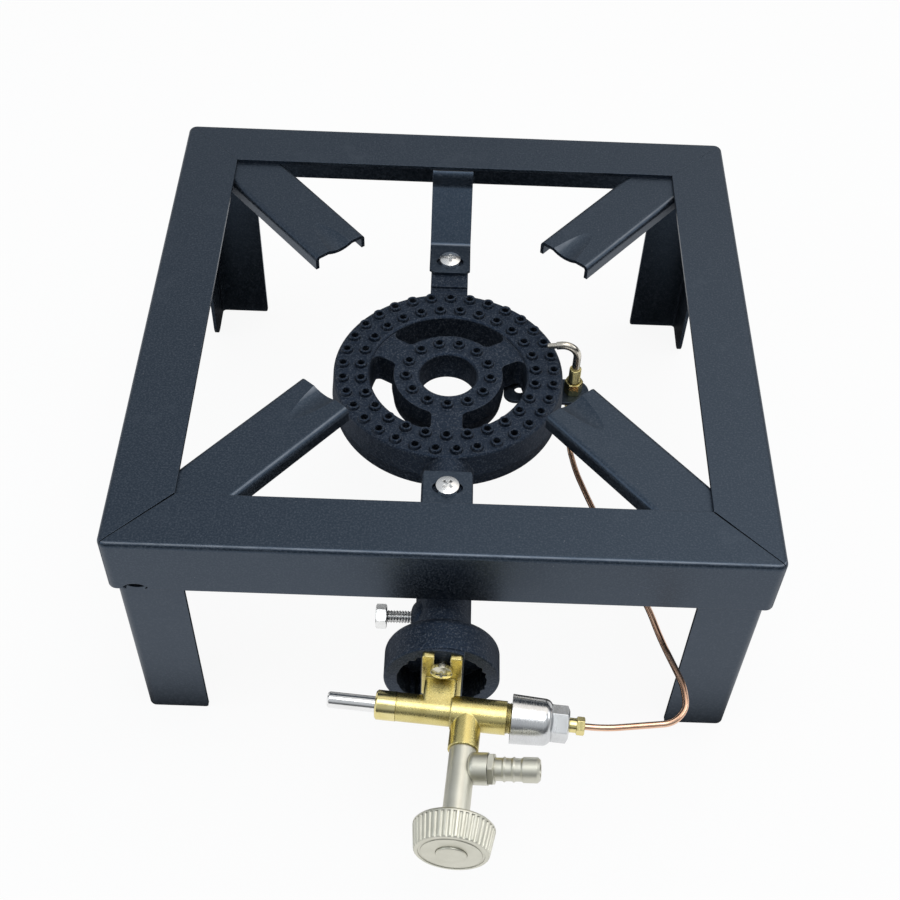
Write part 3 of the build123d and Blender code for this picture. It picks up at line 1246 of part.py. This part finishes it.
def placed(frame, *solids):
    """Solids moved from a sub-assembly's own frame into the stove's."""
    return [frame * solid for solid in solids]


def all_parts():
    """Every node's solids by name."""
    parts = {f"frame_{side}_rail": [solid] for side, solid in rails().items()}
    for corner, solid in four_corners(leg()).items():
        parts[f"leg_{corner}"] = [solid]
    parts["leg_front_left"] = [parts["leg_front_left"][0] - corner_notch()]
    for corner, solid in four_corners(pan_support()).items():
        parts[f"pan_support_{corner}"] = [solid]
    rear_strap = burner_bracket(REAR_BRACKET_WIDTH, REAR_TAB_TOE, REAR_TAB_CHAMFER)
    front_strap = burner_bracket(FRONT_BRACKET_WIDTH, FRONT_TAB_TOE, FRONT_TAB_CHAMFER)
    parts["burner_bracket_rear"] = [Pos(REAR_OFFSET, 0, 0) * rear_strap]
    parts["burner_bracket_front"] = [Pos(NECK_OFFSET, 0, 0) * Rot(0, 0, 180) * front_strap]
    parts["bracket_screws"] = bracket_screws()
    parts["burner_head"] = [burner_head()]
    parts["venturi_bell"] = [venturi_bell()]
    parts["venturi_clamp_bolt"] = [clamp_bolt()]
    valve_parts = (
        valve_body,
        valve_fixing_screw,
        burner_jet,
        plunger_sleeve,
        safety_plunger,
        plunger_o_ring,
        plunger_spring,
        valve_seal,
        valve_disc,
        valve_spring,
        magnet_can,
        magnet_core,
        magnet_coil,
        magnet_cap,
        thermocouple_end_nut,
    )
    for make in valve_parts:
        parts[make.__name__] = placed(VALVE, make())
    needle_parts = (
        needle_valve_body,
        needle_stem,
        stem_packing,
        gland_nut,
        control_knob,
        knob_screw,
        knob_cap,
    )
    for make in needle_parts:
        parts[make.__name__] = placed(NEEDLE, make())
    parts["hose_barb"] = placed(BARB, hose_barb())
    parts["thermocouple_bracket"] = [thermocouple_bracket()]
    parts["thermocouple_bracket_screw"] = [thermocouple_bracket_screw()]
    parts["thermocouple_bush"] = [thermocouple_bush()]
    parts["thermocouple_lock_nuts"] = thermocouple_lock_nuts()
    parts["thermocouple_probe"] = [thermocouple_probe()]
    parts["thermocouple_lead"] = [thermocouple_lead()]
    return parts


os.makedirs("parts", exist_ok=True)
for name, solids in all_parts().items():
    bodies = [solid for piece in solids for solid in piece.solids()]
    export_step(bodies[0] if len(bodies) == 1 else Compound(bodies), f"parts/{name}.step")
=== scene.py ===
"""Finishes, floor, light and camera for a single burner gas stove."""

import json
import math

import bpy
from mathutils import Matrix, Vector

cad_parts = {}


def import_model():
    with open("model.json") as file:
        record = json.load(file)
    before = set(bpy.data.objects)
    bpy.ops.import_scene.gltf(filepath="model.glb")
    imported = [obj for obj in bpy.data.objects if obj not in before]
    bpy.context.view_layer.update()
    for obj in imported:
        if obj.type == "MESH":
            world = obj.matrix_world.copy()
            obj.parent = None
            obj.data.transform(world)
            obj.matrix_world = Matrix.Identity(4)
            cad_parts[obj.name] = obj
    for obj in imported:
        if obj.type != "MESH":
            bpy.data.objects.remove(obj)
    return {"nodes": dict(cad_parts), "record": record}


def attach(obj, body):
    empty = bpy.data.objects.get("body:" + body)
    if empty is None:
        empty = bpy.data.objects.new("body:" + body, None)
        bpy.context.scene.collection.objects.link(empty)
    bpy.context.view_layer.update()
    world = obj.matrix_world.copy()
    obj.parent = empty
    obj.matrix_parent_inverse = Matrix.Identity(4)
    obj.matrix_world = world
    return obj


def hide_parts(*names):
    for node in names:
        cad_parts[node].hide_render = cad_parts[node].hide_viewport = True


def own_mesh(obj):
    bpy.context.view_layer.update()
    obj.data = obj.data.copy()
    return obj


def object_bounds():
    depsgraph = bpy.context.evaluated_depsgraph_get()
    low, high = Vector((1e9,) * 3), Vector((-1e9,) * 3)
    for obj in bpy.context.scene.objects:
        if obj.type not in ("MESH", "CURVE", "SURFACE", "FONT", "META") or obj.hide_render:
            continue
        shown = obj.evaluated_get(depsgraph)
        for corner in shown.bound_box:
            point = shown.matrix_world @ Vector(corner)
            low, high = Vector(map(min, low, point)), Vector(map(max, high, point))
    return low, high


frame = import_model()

CAD_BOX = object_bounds()
NODES = frame["nodes"]
MM_PER_METRE = 1000

# The camera that took the photograph: place in metres, angles in degrees, lens in pixels of the image
IMAGE_SIZE = 900
CAMERA_PLACE = Vector((-0.00324, -0.50811, 0.60332))
CAMERA_PITCH = 52.67
CAMERA_ROLL = -2.61
CAMERA_YAW = -0.79
CAMERA_CLIP = (0.01, 100)
FOCAL_PIXELS = 1357.5
PRINCIPAL_POINT = (447, 558)
SENSOR_WIDTH = 36.0

# The safety valve lies a few degrees off the stand's own axis
VALVE_TURN = math.radians(4.8)

# The two springs inside the valve
SPRINGS = ("plunger_spring", "valve_spring")

# Floor: size and drop below the feet in metres, colour, and its glow for the camera and in reflections
FLOOR_SIZE = 12.0
FLOOR_DROP = 0.0002
FLOOR_COLOUR = (0.88, 0.89, 0.9, 1)
FLOOR_GLOW = 0.92
FLOOR_MIRRORED = 0.93

# The floor's glow in reflections under the stand, where a shadow is painted, and where that shade ends,
# in metres from the middle
FLOOR_SHADE_MIRRORED = 0.02
FLOOR_SHADE_EDGE = (0.14, 0.18)

# Room: colour, its light on the object, and in reflections its upper part, front wall and other walls
ROOM_COLOUR = (0.93, 0.965, 1.0, 1)
ROOM_LIGHT = 0.5
ROOM_MIRRORED = 0.55
ROOM_DARK_FRONT = 0.1
ROOM_DARK_REST = 0.4

# Where the front wall and the walls' upper edge fade in, as the Y and Z of a direction
ROOM_FRONT_EDGE = (-0.1, -0.7)
ROOM_UPPER_EDGE = (0.65, 0.25)

# Lamps: what they aim at, then each one's name, place and width in metres, power in watts and colour
LAMP_AIM = (0, -0.05, 0.08)
LAMPS = (
    ("behind", (0.75, 0.9, 1.9), 1.5, 5.6, (1.0, 0.89, 0.77)),
    ("over_camera", (0.15, -0.3, 1.7), 1.0, 8.5, (1.0, 1.0, 1.0)),
    ("left", (-1.6, -0.5, 1.1), 0.9, 4.5, (0.9, 0.96, 1.0)),
    ("right", (1.6, 0.1, 1.1), 0.9, 4.5, (1.0, 1.0, 1.0)),
)

# Powder coat: the sheen's tint, and colours of the coat, its grain, worn edges with a painted highlight,
# a painted highlight on bends, dust and smears
COAT_SHEEN = (0.5, 0.7, 1.0, 1)
COAT_TONES = ((0.0006, 0.0018, 0.0034), (0.0018, 0.0032, 0.0048))
COAT_GRAIN = (0.036, 0.04, 0.046)
COAT_EDGE_WEAR_AND_HIGHLIGHT = (0.075, 0.082, 0.095)
COAT_BEND_HIGHLIGHT = (0.15, 0.157, 0.168)
COAT_DUST = (0.2, 0.2, 0.2)
COAT_SMEAR = (0.03, 0.034, 0.04)

# A painted highlight on a bend of the sheet: the way the lit bend faces, and ranges of its normal along
# that way and along Z
BEND_HIGHLIGHT_FACING = (0.35, -0.94, 0)
BEND_FRONT_RANGE = (0.18, 0.3)
BEND_LOWER_RANGE = (0.78, 0.88)
BEND_UPPER_RANGE = (0.97, 0.995)

# Sand casting: the sheen's tint, and colours of the iron, its sand grains, and its edges, worn and
# painted lighter as a highlight
IRON_SHEEN = (0.42, 0.62, 1.0, 1)
IRON_TONES = ((0.0005, 0.0012, 0.0026), (0.002, 0.0038, 0.0066))
IRON_SAND = (0.075, 0.083, 0.095)
IRON_EDGE_WEAR_AND_HIGHLIGHT = (0.13, 0.14, 0.155)

# Forged brass: colours of its face, of the highlight painted on its edges and of the shade painted in
# its corners
FORGED_TONES = ((0.68, 0.57, 0.22), (0.78, 0.68, 0.3))
FORGED_EDGE_HIGHLIGHT = (0.92, 0.83, 0.48)
FORGED_CORNER_SHADE = (0.3, 0.24, 0.07)

# Rubber: its two colours
RUBBER_TONES = ((0.012, 0.012, 0.012), (0.03, 0.03, 0.03))

# Plain metals: dark tone, light tone and range of roughness
METALS = {
    "bright_zinc": ((0.88, 0.885, 0.88), (0.95, 0.95, 0.945), (0.24, 0.34)),
    "turned_brass": ((0.78, 0.66, 0.28), (0.88, 0.78, 0.4), (0.14, 0.26)),
    "satin_nickel": ((0.67, 0.66, 0.57), (0.74, 0.73, 0.64), (0.4, 0.5)),
    "copper": ((0.76, 0.44, 0.29), (0.88, 0.6, 0.44), (0.14, 0.24)),
    "polished_steel": ((0.86, 0.86, 0.86), (0.93, 0.93, 0.93), (0.12, 0.2)),
    "cap_steel": ((0.65, 0.66, 0.67), (0.75, 0.76, 0.77), (0.18, 0.3)),
    "pale_screw": ((0.68, 0.65, 0.53), (0.76, 0.74, 0.63), (0.2, 0.3)),
    "probe_steel": ((0.6, 0.56, 0.48), (0.74, 0.7, 0.62), (0.2, 0.3)),
}
# Shade painted darker in the recesses of turned and plated metals, as a share of their dark tone
TURNED_RECESS_SHADE = 0.35
PLATED_RECESS_SHADE = 0.5

# The middle part of a noise's values, which most finishes spread over their own range
MIDDLE = (0.3, 0.7)

# How open a point is where the painted shade of a recess ends and where it begins
RECESS_RANGE = (0.35, 0.85)

# Places of the two values among a Mix node's inputs and of the result among its outputs
MIX_NUMBERS = (2, 3)
MIX_NUMBER_RESULT = 0
MIX_COLOURS = (6, 7)
MIX_COLOUR_RESULT = 2


def feed(tree, socket, value):
    """Sets a socket to a plain value, or links it to an output."""
    if isinstance(value, bpy.types.NodeSocket):
        tree.links.new(value, socket)
    else:
        socket.default_value = value


def add(tree, kind, inputs=None, **settings):
    """A new shader node with its settings; an input is a plain value or another node's output."""
    node = tree.nodes.new("ShaderNode" + kind)
    for key, value in settings.items():
        setattr(node, key, value)
    for key, value in (inputs or {}).items():
        feed(tree, node.inputs[key], value)
    return node


def blend(tree, factor, first, second):
    """A number between two others."""
    node = add(tree, "Mix", {"Factor": factor}, data_type="FLOAT")
    for place, value in zip(MIX_NUMBERS, (first, second)):
        feed(tree, node.inputs[place], value)
    return node.outputs[MIX_NUMBER_RESULT]


def smooth(tree, value, edge, result=(0.0, 1.0)):
    """Value across an edge, spread smoothly over a result's range and held there."""
    inputs = {
        "Value": value,
        "From Min": edge[0],
        "From Max": edge[1],
        "To Min": result[0],
        "To Max": result[1],
    }
    return add(tree, "MapRange", inputs, interpolation_type="SMOOTHSTEP").outputs["Result"]


class Finish:
    """A procedural material on one Principled shader, with patterns sized in millimetres."""

    def __init__(self, name, metallic, **fixed):
        self.material = bpy.data.materials.new(name)
        self.material.use_nodes = True
        self.tree = self.material.node_tree
        self.shader = self.tree.nodes["Principled BSDF"]
        self.shader.inputs["Metallic"].default_value = metallic
        for key, value in fixed.items():
            self.shader.inputs[key.replace("_", " ")].default_value = value
        self.place = add(self.tree, "TexCoord").outputs["Object"]

    def stretched(self, turn, scale):
        """Coordinates turned about Z and drawn out, for brushed and turned surfaces."""
        mapping = add(self.tree, "Mapping", {"Vector": self.place, "Scale": scale})
        mapping.inputs["Rotation"].default_value = (0, 0, -turn)
        return mapping.outputs["Vector"]

    def noise(self, size_mm, detail=2.0, rough=0.5, place=None):
        """Soft noise whose lumps are about size_mm across."""
        inputs = {
            "Vector": place or self.place,
            "Scale": MM_PER_METRE / size_mm,
            "Detail": detail,
            "Roughness": rough,
        }
        return add(self.tree, "TexNoise", inputs).outputs["Fac"]

    def specks(self, spacing_mm):
        """The distance to the nearest of scattered points about spacing_mm apart."""
        inputs = {"Vector": self.place, "Scale": MM_PER_METRE / spacing_mm}
        return add(self.tree, "TexVoronoi", inputs).outputs["Distance"]

    def range(self, value, low, high, to_low=0.0, to_high=1.0):
        """Value from low to high, spread over to_low to to_high and held there."""
        inputs = {
            "Value": value,
            "From Min": low,
            "From Max": high,
            "To Min": to_low,
            "To Max": to_high,
        }
        return add(self.tree, "MapRange", inputs, clamp=True).outputs["Result"]

    def times(self, first, second):
        """The product of two values."""
        return add(self.tree, "Math", {0: first, 1: second}, operation="MULTIPLY").outputs[0]

    def mix(self, factor, first, second):
        """One colour into another by a factor."""
        node = add(self.tree, "Mix", data_type="RGBA")
        feed(self.tree, node.inputs["Factor"], factor)
        for place, value in zip(MIX_COLOURS, (first, second)):
            plain = not isinstance(value, bpy.types.NodeSocket)
            feed(self.tree, node.inputs[place], (*value, 1) if plain else value)
        return node.outputs[MIX_COLOUR_RESULT]

    def bump(self, height, depth_mm, normal=None):
        """A normal that follows a height of depth_mm."""
        inputs = {"Height": height, "Distance": depth_mm / MM_PER_METRE, "Strength": 1.0}
        if normal is not None:
            inputs["Normal"] = normal
        return add(self.tree, "Bump", inputs).outputs["Normal"]

    def soft_normal(self, radius_mm):
        """The normal with its edges rounded, so that a sharp edge catches the light."""
        return add(self.tree, "Bevel", {"Radius": radius_mm / MM_PER_METRE}, samples=6).outputs["Normal"]

    def along(self, direction):
        """How far the surface's normal points along a direction."""
        normal = add(self.tree, "NewGeometry").outputs["Normal"]
        inputs = {0: normal, 1: direction}
        return add(self.tree, "VectorMath", inputs, operation="DOT_PRODUCT").outputs["Value"]

    def edges(self, radius_mm, low, high):
        """1 on sharp edges and 0 on open faces."""
        return self.range(self.along(self.soft_normal(radius_mm)), low, high, 1.0, 0.0)

    def recesses(self, reach_mm):
        """1 deep in corners and recesses, where shade is painted, and 0 in the open."""
        inputs = {"Distance": reach_mm / MM_PER_METRE}
        open_share = add(self.tree, "AmbientOcclusion", inputs, samples=8).outputs["AO"]
        return self.range(open_share, *RECESS_RANGE, 1.0, 0.0)

    def bends(self):
        """1 along the upper part of a bend that turns down to the front from a level top, where a
        highlight is painted.
        """
        front = self.range(self.along(BEND_HIGHLIGHT_FACING), *BEND_FRONT_RANGE)
        level = self.along((0, 0, 1))
        upper = self.times(self.range(level, *BEND_LOWER_RANGE), front)
        return self.times(upper, self.range(level, *BEND_UPPER_RANGE, 1.0, 0.0))

    def finish(self, colour, roughness, normal):
        """The material, with its colour, roughness and normal joined to the shader."""
        feed(self.tree, self.shader.inputs["Base Color"], colour)
        feed(self.tree, self.shader.inputs["Roughness"], roughness)
        feed(self.tree, self.shader.inputs["Normal"], normal)
        return self.material


def powder_coat():
    """Satin black powder coat with a navy sheen: fine grain, edges worn and painted lighter as a
    highlight, a painted highlight along the bends, and dust.
    """
    coat = Finish("powder_coat", 0.0, Specular_IOR_Level=1.0, Specular_Tint=COAT_SHEEN)
    cloud = coat.noise(60, 3)
    grain = coat.noise(0.9, 3, 0.6)
    peel = coat.noise(2.6, 2)
    colour = coat.mix(coat.range(cloud, *MIDDLE), *COAT_TONES)
    colour = coat.mix(coat.range(grain, 0.46, 0.72), colour, COAT_GRAIN)
    # Sharp edges painted lighter: partly wear, partly a painted highlight
    worn_edge_and_highlight = coat.times(coat.edges(0.5, 0.75, 0.97), coat.range(coat.noise(6, 3), 0.25, 0.7))
    colour = coat.mix(worn_edge_and_highlight, colour, COAT_EDGE_WEAR_AND_HIGHLIGHT)
    # A highlight painted along the bends that face the right front, lighter in patches
    painted_bend_highlight = coat.times(coat.bends(), coat.range(coat.noise(9, 3), 0.2, 0.6, 0.4, 1.0))
    colour = coat.mix(painted_bend_highlight, colour, COAT_BEND_HIGHLIGHT)
    dust = coat.range(coat.specks(9.0), 0.015, 0.035, 0.6, 0.0)
    colour = coat.mix(dust, colour, COAT_DUST)
    smear = coat.range(coat.noise(28, 4, 0.7), 0.58, 0.75, 0.0, 0.5)
    colour = coat.mix(smear, colour, COAT_SMEAR)
    rough = coat.range(grain, *MIDDLE, 0.34, 0.46)
    normal = coat.bump(peel, 0.03, coat.soft_normal(0.4))
    normal = coat.bump(grain, 0.03, normal)
    return coat.finish(colour, rough, normal)


def cast_iron():
    """Black sand casting: coarse lumps, pale sand grains, and edges worn and painted lighter as a
    highlight.
    """
    iron = Finish("cast_iron", 0.0, Specular_IOR_Level=0.7, Specular_Tint=IRON_SHEEN)
    lumps = iron.noise(2.6, 4, 0.6)
    sand = iron.noise(0.9, 3, 0.65)
    colour = iron.mix(iron.range(lumps, *MIDDLE), *IRON_TONES)
    colour = iron.mix(iron.range(sand, 0.5, 0.7), colour, IRON_SAND)
    # Edges painted lighter: partly wear, partly a painted highlight
    worn_edge_and_highlight = iron.times(iron.edges(0.8, 0.7, 0.97), iron.range(iron.noise(5, 3), 0.35, 0.7))
    colour = iron.mix(worn_edge_and_highlight, colour, IRON_EDGE_WEAR_AND_HIGHLIGHT)
    rough = iron.range(sand, *MIDDLE, 0.46, 0.68)
    normal = iron.bump(lumps, 0.4, iron.soft_normal(1.0))
    normal = iron.bump(sand, 0.18, normal)
    return iron.finish(colour, rough, normal)


def forged_brass():
    """Forged and blasted brass with a grainy skin, a highlight painted on its edges and shade painted
    darker in its corners.
    """
    brass = Finish("cast_brass", 1.0)
    grain = brass.noise(0.6, 3, 0.6)
    tone = brass.noise(6, 3)
    colour = brass.mix(brass.range(tone, *MIDDLE), *FORGED_TONES)
    # A highlight painted on the sharp edges
    colour = brass.mix(brass.edges(0.4, 0.8, 0.97), colour, FORGED_EDGE_HIGHLIGHT)
    # Shade painted darker in corners and recesses
    colour = brass.mix(brass.recesses(3.0), colour, FORGED_CORNER_SHADE)
    rough = brass.range(grain, *MIDDLE, 0.22, 0.36)
    normal = brass.bump(grain, 0.03, brass.soft_normal(0.8))
    return brass.finish(colour, rough, normal)


def turned_metal(name):
    """Metal turned on a lathe, with fine rings round the valve's long axis."""
    dark, light, roughness = METALS[name]
    metal = Finish(name, 1.0)
    rings = metal.noise(1.0, 3, 0.6, metal.stretched(VALVE_TURN, (2.2, 0.06, 0.06)))
    tone = metal.noise(8, 2)
    colour = metal.mix(metal.range(tone, *MIDDLE), dark, light)
    # Shade painted darker in recesses
    colour = metal.mix(metal.recesses(1.5), colour, [part * TURNED_RECESS_SHADE for part in dark])
    rough = metal.range(rings, *MIDDLE, *roughness)
    normal = metal.bump(rings, 0.008, metal.soft_normal(0.3))
    return metal.finish(colour, rough, normal)


def plated_metal(name, depth_mm=0.006):
    """Smooth plated metal with a slight grain and shade painted darker in its recesses."""
    dark, light, roughness = METALS[name]
    metal = Finish(name, 1.0)
    grain = metal.noise(0.6, 3, 0.6)
    tone = metal.noise(7, 3)
    colour = metal.mix(metal.range(tone, *MIDDLE), dark, light)
    # Shade painted darker in recesses
    colour = metal.mix(metal.recesses(1.0), colour, [part * PLATED_RECESS_SHADE for part in dark])
    rough = metal.range(grain, *MIDDLE, *roughness)
    normal = metal.bump(grain, depth_mm, metal.soft_normal(0.35))
    return metal.finish(colour, rough, normal)


def black_rubber():
    """Dull black rubber with a fine grain."""
    rubber = Finish("black_rubber", 0.0)
    grain = rubber.noise(0.5, 3)
    colour = rubber.mix(grain, *RUBBER_TONES)
    rough = rubber.range(grain, *MIDDLE, 0.7, 0.85)
    return rubber.finish(colour, rough, rubber.bump(grain, 0.02))


def dress():
    """Gives each node its finish."""
    by_slot = {
        "black_coat": powder_coat(),
        "black_casting": cast_iron(),
        "bright_zinc": plated_metal("bright_zinc"),
        "brass": turned_metal("turned_brass"),
        "nickel": plated_metal("satin_nickel", depth_mm=0.003),
        "copper": plated_metal("copper"),
        "rubber": black_rubber(),
        "steel": plated_metal("polished_steel"),
    }
    by_node = {
        "valve_body": forged_brass(),
        "magnet_cap": turned_metal("cap_steel"),
        "valve_fixing_screw": plated_metal("pale_screw"),
        "thermocouple_probe": plated_metal("probe_steel"),
    }
    for row in frame["record"]["subparts"]:
        node = NODES[row["node"]]
        node.data.materials.clear()
        node.data.materials.append(by_node.get(row["node"], by_slot[row["material_slot"]]))


def springs():
    """The two springs as coils of their own, held by the base, in place of the CAD nodes."""
    for name in SPRINGS:
        piece = bpy.data.objects.new(name + "_coil", NODES[name].data.copy())
        bpy.context.scene.collection.objects.link(piece)
        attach(piece, "base")
        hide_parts(name)
        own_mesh(piece)


def by_ray(tree, light, mirrored, seen):
    """One value for rays that light the object, one for reflections and one for the camera."""
    path = add(tree, "LightPath").outputs
    inputs = {0: path["Is Glossy Ray"], 1: path["Is Transmission Ray"]}
    shown = add(tree, "Math", inputs, operation="MAXIMUM").outputs[0]
    return blend(tree, path["Is Camera Ray"], blend(tree, shown, light, mirrored), seen)


def floor_paint():
    """White that keeps a faint shadow; in reflections a shadow is painted dark under the stand."""
    white = bpy.data.materials.new("floor_white")
    white.use_nodes = True
    tree = white.node_tree
    tree.nodes.remove(tree.nodes["Principled BSDF"])
    paint = add(tree, "BsdfDiffuse", {"Color": FLOOR_COLOUR})
    place = add(tree, "SeparateXYZ", {0: add(tree, "TexCoord").outputs["Object"]})
    across = add(tree, "Math", {0: place.outputs["X"]}, operation="ABSOLUTE").outputs[0]
    along = add(tree, "Math", {0: place.outputs["Y"]}, operation="ABSOLUTE").outputs[0]
    out = add(tree, "Math", {0: across, 1: along}, operation="MAXIMUM").outputs[0]
    # In reflections the floor under the stand is painted dark as its shadow
    mirrored = smooth(tree, out, FLOOR_SHADE_EDGE, (FLOOR_SHADE_MIRRORED, FLOOR_MIRRORED))
    glow = add(tree, "Emission", {"Color": (1, 1, 1, 1), "Strength": by_ray(tree, 0.0, mirrored, 1.0)})
    share = by_ray(tree, 0.0, 1.0, FLOOR_GLOW)
    both = add(tree, "MixShader", {0: share, 1: paint.outputs[0], 2: glow.outputs[0]})
    tree.links.new(both.outputs[0], tree.nodes["Material Output"].inputs["Surface"])
    return white


def floor():
    """A plain white floor under the feet."""
    made = bpy.data.meshes.new("floor")
    half = FLOOR_SIZE / 2
    corners = [(-half, -half, 0), (half, -half, 0), (half, half, 0), (-half, half, 0)]
    made.from_pydata(corners, [], [(0, 1, 2, 3)])
    made.materials.append(floor_paint())
    piece = bpy.data.objects.new("floor", made)
    piece.location.z = CAD_BOX[0].z - FLOOR_DROP
    bpy.context.scene.collection.objects.link(piece)


def world():
    """A pale room, white to the camera; in reflections its walls are darker, most behind the camera."""
    made = bpy.data.worlds.new("room")
    bpy.context.scene.world = made
    made.use_nodes = True
    tree = made.node_tree
    direction = add(tree, "SeparateXYZ", {0: add(tree, "TexCoord").outputs["Generated"]}).outputs
    front = smooth(tree, direction["Y"], ROOM_FRONT_EDGE)
    low = smooth(tree, direction["Z"], ROOM_UPPER_EDGE)
    walls = blend(tree, front, ROOM_DARK_REST, ROOM_DARK_FRONT)
    mirrored = blend(tree, low, ROOM_MIRRORED, walls)
    back = tree.nodes["Background"]
    back.inputs["Color"].default_value = ROOM_COLOUR
    tree.links.new(by_ray(tree, ROOM_LIGHT, mirrored, 1.0), back.inputs["Strength"])


def lamps():
    """A large soft box behind, a smaller one over the camera and one at each side."""
    for name, place, width, power, colour in LAMPS:
        light = bpy.data.lights.new(name, "AREA")
        light.size = width
        light.energy = power
        light.color = colour
        piece = bpy.data.objects.new(name, light)
        piece.location = place
        piece.rotation_euler = (Vector(LAMP_AIM) - Vector(place)).to_track_quat("-Z", "Y").to_euler()
        bpy.context.scene.collection.objects.link(piece)


def camera():
    """The photograph's camera; its lens is off the middle of the picture, so the lens is shifted."""
    data = bpy.data.cameras.new("camera")
    data.sensor_width = SENSOR_WIDTH
    data.lens = FOCAL_PIXELS * SENSOR_WIDTH / IMAGE_SIZE
    data.shift_x = (IMAGE_SIZE / 2 - PRINCIPAL_POINT[0]) / IMAGE_SIZE
    data.shift_y = (PRINCIPAL_POINT[1] - IMAGE_SIZE / 2) / IMAGE_SIZE
    data.clip_start, data.clip_end = CAMERA_CLIP
    piece = bpy.data.objects.new("camera", data)
    bpy.context.scene.collection.objects.link(piece)
    turn = Matrix.Rotation(math.radians(CAMERA_YAW), 3, "Z")
    turn = turn @ Matrix.Rotation(math.radians(-CAMERA_PITCH), 3, "X")
    turn = turn @ Matrix.Rotation(math.radians(CAMERA_ROLL), 3, "Y")
    turn = turn @ Matrix.Rotation(math.radians(90), 3, "X")
    piece.matrix_world = Matrix.Translation(CAMERA_PLACE) @ turn.to_4x4()
    bpy.context.scene.camera = piece


dress()
springs()
floor()
world()
lamps()
camera()
bpy.context.scene.view_settings.view_transform = "Standard"
